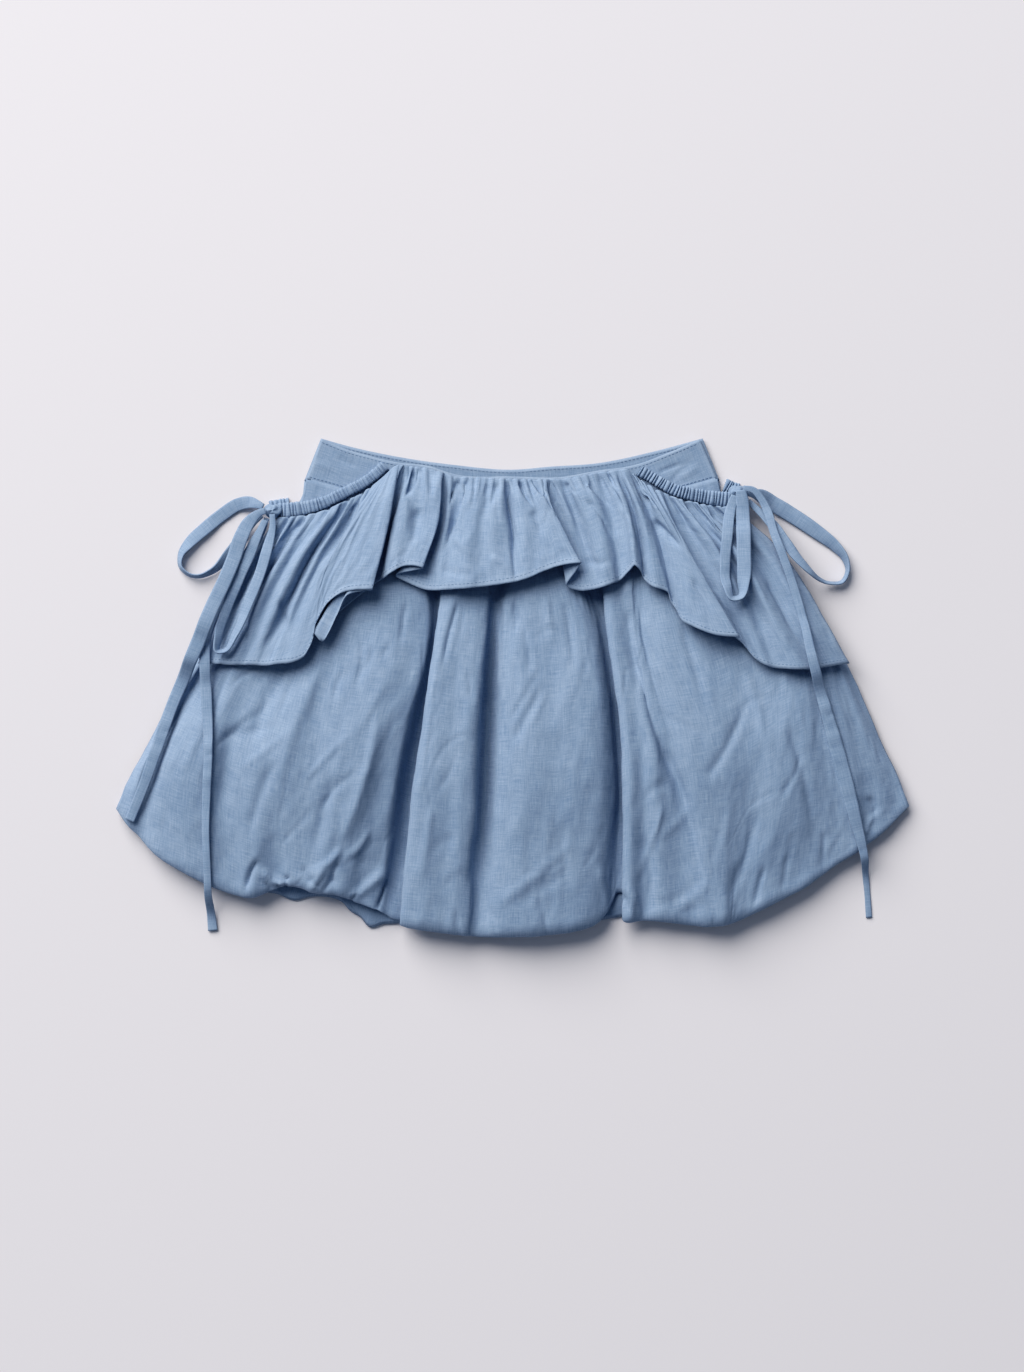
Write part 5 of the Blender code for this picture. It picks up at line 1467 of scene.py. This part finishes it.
class SkirtColour(bpy.types.PropertyGroup):
    """Shades of the cloth."""

    front_light: bpy.props.FloatVectorProperty(
        name="Front, light yarn", description="Light yarn of the front",
        default=(0.398, 0.492, 0.628), subtype="COLOR",
    )
    front_dark: bpy.props.FloatVectorProperty(
        name="Front, blue yarn", description="Blue yarn of the front",
        default=(0.118, 0.19, 0.32), subtype="COLOR",
    )
    back_light: bpy.props.FloatVectorProperty(
        name="Back, light yarn", description="Light yarn of the back",
        default=(0.383, 0.477, 0.612), subtype="COLOR",
    )
    back_dark: bpy.props.FloatVectorProperty(
        name="Back, blue yarn", description="Blue yarn of the back",
        default=(0.113, 0.185, 0.315), subtype="COLOR",
    )
    tie_light: bpy.props.FloatVectorProperty(
        name="Ties, light yarn", description="Light yarn of the ties",
        default=(0.383, 0.477, 0.612), subtype="COLOR",
    )
    tie_dark: bpy.props.FloatVectorProperty(
        name="Ties, blue yarn", description="Blue yarn of the ties",
        default=(0.113, 0.185, 0.315), subtype="COLOR",
    )
    thread: bpy.props.FloatVectorProperty(
        name="Thread", description="Sewing thread",
        default=(0.15, 0.22, 0.345), subtype="COLOR",
    )
    wear: bpy.props.FloatProperty(
        name="Wear", description="How much hems and seams have paled", default=0.1, subtype="FACTOR"
    )


class SkirtStage(bpy.types.PropertyGroup):
    """The floor, the lights and the camera."""

    distance: bpy.props.FloatProperty(
        name="Camera height", description="How far the camera stands over the floor",
        default=2.6, unit="LENGTH",
    )
    key: bpy.props.FloatProperty(
        name="Key light", description="Power of the soft light from the upper left",
        default=1120.0, unit="POWER",
    )
    sky: bpy.props.FloatProperty(
        name="Room light", description="Strength of the light from all round", default=0.24
    )
    floor: bpy.props.FloatVectorProperty(
        name="Floor", description="Colour of the floor",
        default=(0.773, 0.738, 0.762), subtype="COLOR",
    )


class LayBack(bpy.types.Operator):
    """Lay the back ruffle and the back of the skirt on the floor"""

    bl_idname = "skirt.lay_back"
    bl_label = "Back"

    def execute(self, context):
        sizes = context.scene.skirt_cloth
        cover = HeightMap()
        ruffle = back_ruffle_points()
        cover.add(ruffle, THIN_WALL / 2)
        piece = cloth_sheet("ruffle_back_cloth", ruffle, sizes.wall / MM, cloth_material("back"))
        lay(piece, "ruffle_back")
        back = skirt_back_points()
        cover.add(back, WALL / 2)
        laid["cover"] = cover
        hem = hem_weight(back, left=SELVAGE, right=SELVAGE)
        inside = np.clip(back[..., 2] - WALL / 2, 0.0, 1.0)
        back = rippled(back, BACK_WAVES, inside)
        piece = cloth_sheet("skirt_back_cloth", back, BACK_WALL, cloth_material("back"), hem, BACK_THIN)
        lay(piece, "skirt_back")
        return {"FINISHED"}


class LayYokes(bpy.types.Operator):
    """Lay the two curved bands of the waist"""

    bl_idname = "skirt.lay_yokes"
    bl_label = "Waist yokes"

    def execute(self, context):
        wall = YOKE_LAYERS * context.scene.skirt_cloth.wall / MM
        cover = laid["cover"]
        for name, edge, level, arch, span, kind, area in (
            ("yoke_back", WAIST_BACK, YOKE_LEVEL_BACK, 0.0, YOKE_BACK_SPAN, "back", 0.013),
            ("yoke_front", WAIST_FRONT, YOKE_LEVEL_FRONT, YOKE_ARCH, YOKE_FRONT_SPAN, "front", 0.0108),
        ):
            points = waist_band(edge, level, arch, span)
            cover.add(points, WALL / 2)
            if kind == "front":
                points = creased(rippled(points, YOKE_WAVES), YOKE_CREASES)
            laid[name] = points
            hem = hem_weight(points, head=WAIST_BAND, left=SELVAGE, right=SELVAGE)
            piece = cloth_sheet(f"{name}_cloth", points, wall, cloth_material(kind), hem, YOKE_THIN)
            lay(piece, name)
        return {"FINISHED"}


class LayFront(bpy.types.Operator):
    """Lay the front of the skirt with its folds, creases and rolled hem"""

    bl_idname = "skirt.lay_front"
    bl_label = "Front"

    def execute(self, context):
        sizes = context.scene.skirt_cloth
        points = skirt_front_points()
        laid["cover"].add(points, WALL / 2)
        row = np.arange(points.shape[1])
        loose = ease(row / SEAM_HELD_ROWS) * ease((len(row) - HEM_HELD_ROWS - row) / HEM_EASED_ROWS)
        points = rippled(points, SKIRT_WAVES, loose)
        points = creased(points, SKIRT_CREASES, loose)
        points = crumpled(points, SKIRT_CRUMPLES, sizes.crumple / MM, loose)
        piece = cloth_sheet("skirt_front_cloth", points, sizes.wall / MM, cloth_material("front"))
        lay(piece, "skirt_front")
        return {"FINISHED"}


class LayRuffle(bpy.types.Operator):
    """Lay the front ruffle over the skirt, with its folded pleats and narrow hem"""

    bl_idname = "skirt.lay_ruffle"
    bl_label = "Front ruffle"

    def execute(self, context):
        sizes = context.scene.skirt_cloth
        cover = laid["cover"]
        surface = cover.widened(RUFFLE_REACH, RUFFLE_SOFTEN)
        laid["surface"] = surface
        points = ruffle_points(cover, surface)
        cover.add(points, WALL / 2)
        across = np.gradient(points[:, -1, 0])
        open_cloth = ease((across - FOLDED_STEP) / OPENING_STEP)[:, None]
        row = np.arange(points.shape[1])
        loose = ease(row / GATHER_HELD_ROWS) * (FOLDED_SHARE + (1.0 - FOLDED_SHARE) * open_cloth)
        points = rippled(points, RUFFLE_WAVES, loose)
        points = gathered(points, RUFFLE_GATHERS)
        points = creased(points, RUFFLE_CREASES, open_cloth)
        points = crumpled(points, RUFFLE_CRUMPLES, sizes.crumple / MM, loose)
        laid["ruffle_front"] = points
        band = sizes.hem_band / MM
        hem = hem_weight(points, foot=band, left=RUFFLE_SELVAGE, right=RUFFLE_SELVAGE)
        wall = RUFFLE_LAYERS * sizes.wall / MM
        material = cloth_material("front")
        piece = cloth_sheet("ruffle_front_cloth", points, wall, material, hem, RUFFLE_THIN)
        lay(piece, "ruffle_front")
        return {"FINISHED"}


class MakeCasings(bpy.types.Operator):
    """Make the ruched elastic casings at both sides"""

    bl_idname = "skirt.make_casings"
    bl_label = "Elastic casings"

    def execute(self, context):
        cover, surface = laid["cover"], laid["surface"]

        def on_front(places):
            return cover.read(surface, places[:, 0], places[:, 1])

        def on_floor(places):
            return np.zeros(len(places))

        for name, edge, ribs, level, knot, kind in (
            ("casing_left", CASING_LEFT, 32, on_front, LEFT_KNOT, "front"),
            ("casing_right", CASING_RIGHT, 29, on_front, RIGHT_KNOT, "front"),
            ("casing_back_left", CASING_BACK_LEFT, 5, on_floor, LEFT_KNOT, "back"),
            ("casing_back_right", CASING_BACK_RIGHT, 5, on_floor, RIGHT_KNOT, "back"),
        ):
            rings = casing_rings(edge, ribs, level, len(name), knot)
            piece = tube(f"{name}_cloth", rings, cloth_material(kind))
            stand_for(piece, name)
        return {"FINISHED"}


class TieBows(bpy.types.Operator):
    """Lay the loops and tails of the ties, and tie their knots"""

    bl_idname = "skirt.tie_bows"
    bl_label = "Ties"

    def execute(self, context):
        cover = laid["cover"]
        for name, tie in TIES.items():
            points = ribbon_points(tie, cover)
            cover.add(points, TIE_WALL / 2)
            points = rippled(points, TIE_WAVES)
            piece = cloth_sheet(f"{name}_cloth", points, TIE_CLOTH, cloth_material("tie"))
            lay(piece, name)
        for name, centre in (("knot_left", LEFT_KNOT), ("knot_right", RIGHT_KNOT)):
            piece = new_piece(f"{name}_cloth", knot_shape(centre), cloth_material("tie"))
            stand_for(piece, name)
        return {"FINISHED"}


class SewStitches(bpy.types.Operator):
    """Sew the stitching along the hem of the ruffle and the seams of the yokes"""

    bl_idname = "skirt.sew_stitches"
    bl_label = "Stitching"

    def execute(self, context):
        wall = context.scene.skirt_cloth.wall / MM
        shape = bmesh.new()
        sew(shape, seam_line(laid["ruffle_front"], RUFFLE_STITCH), wall / 2)
        lower = seam_line(laid["yoke_front"], SEAM_STITCH)
        corner = len(lower) // STITCHED_CORNERS
        yokes = (laid["yoke_front"], laid["yoke_back"])
        tops = [seam_line(yoke, WAIST_STITCH, from_foot=False) for yoke in yokes]
        for line in (*tops, lower[:corner], lower[-corner:]):
            sew(shape, line, YOKE_LAYERS * wall / 2)
        piece = new_piece("stitches", shape, cloth_material("thread"))
        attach(piece, "root")
        return {"FINISHED"}


class SetStage(bpy.types.Operator):
    """Set out the pale floor, the soft light and the camera"""

    bl_idname = "skirt.set_stage"
    bl_label = "Stage"

    def execute(self, context):
        scene = context.scene
        settings = scene.skirt_stage
        shape = bmesh.new()
        bmesh.ops.create_grid(shape, x_segments=1, y_segments=1, size=FLOOR_HALF)
        for vertex in shape.verts:
            vertex.co.z = -FLOOR_DROP
        floor_paint = bpy.data.materials.new("pale_floor")
        floor_paint.use_nodes = True
        shader = floor_paint.node_tree.nodes["Principled BSDF"]
        shader.inputs["Base Color"].default_value = (*settings.floor, 1.0)
        shader.inputs["Roughness"].default_value = 0.9
        new_piece("floor", shape, floor_paint)

        key = bpy.data.lights.new("key", "AREA")
        key.shape = "DISK"
        key.size = LAMP_SIZE
        key.energy = settings.key
        key.color = LAMP_COLOUR
        lamp = bpy.data.objects.new("key", key)
        place = Vector(LAMP_PLACE)
        lamp.location = place
        lamp.rotation_euler = (-place).to_track_quat("-Z", "Y").to_euler()
        scene.collection.objects.link(lamp)

        room = bpy.data.worlds.new("room")
        room.use_nodes = True
        back = room.node_tree.nodes["Background"]
        back.inputs["Color"].default_value = ROOM_COLOUR
        back.inputs["Strength"].default_value = settings.sky
        scene.world = room

        lens = bpy.data.cameras.new("camera")
        lens.sensor_width = SENSOR
        lens.lens = SENSOR * settings.distance / PHOTO_SPAN
        camera = bpy.data.objects.new("camera", lens)
        camera.location = (-PIXEL, PIXEL, settings.distance)
        scene.collection.objects.link(camera)
        scene.camera = camera
        view = scene.view_settings
        view.view_transform = "Standard"
        view.use_curve_mapping = True
        curve = view.curve_mapping.curves[3]
        for light, shown in TONE_CURVE:
            curve.points.new(light, shown)
        view.curve_mapping.update()
        return {"FINISHED"}


OPERATORS = (LayBack, LayYokes, LayFront, LayRuffle, MakeCasings, TieBows, SewStitches, SetStage)


class SkirtPanel(bpy.types.Panel):
    """Everything that makes the skirt, in the order it is laid"""

    bl_idname = "VIEW3D_PT_skirt"
    bl_label = "Skirt"
    bl_space_type = "VIEW_3D"
    bl_region_type = "UI"
    bl_category = "Skirt"

    def draw(self, context):
        for group in ("skirt_cloth", "skirt_colour", "skirt_stage"):
            settings = getattr(context.scene, group)
            for label in settings.__annotations__:
                self.layout.prop(settings, label)
        for operator in OPERATORS:
            self.layout.operator(operator.bl_idname)


CLASSES = (SkirtCloth, SkirtColour, SkirtStage, *OPERATORS, SkirtPanel)


def register():
    for item in CLASSES:
        bpy.utils.register_class(item)
    bpy.types.Scene.skirt_cloth = bpy.props.PointerProperty(type=SkirtCloth)
    bpy.types.Scene.skirt_colour = bpy.props.PointerProperty(type=SkirtColour)
    bpy.types.Scene.skirt_stage = bpy.props.PointerProperty(type=SkirtStage)


def unregister():
    del bpy.types.Scene.skirt_cloth
    del bpy.types.Scene.skirt_colour
    del bpy.types.Scene.skirt_stage
    for item in reversed(CLASSES):
        bpy.utils.unregister_class(item)


def main():
    """Build the dressed skirt in order."""
    register()
    for operator in OPERATORS:
        area, name = operator.bl_idname.split(".")
        getattr(getattr(bpy.ops, area), name)()


if __name__ == "__main__":
    main()
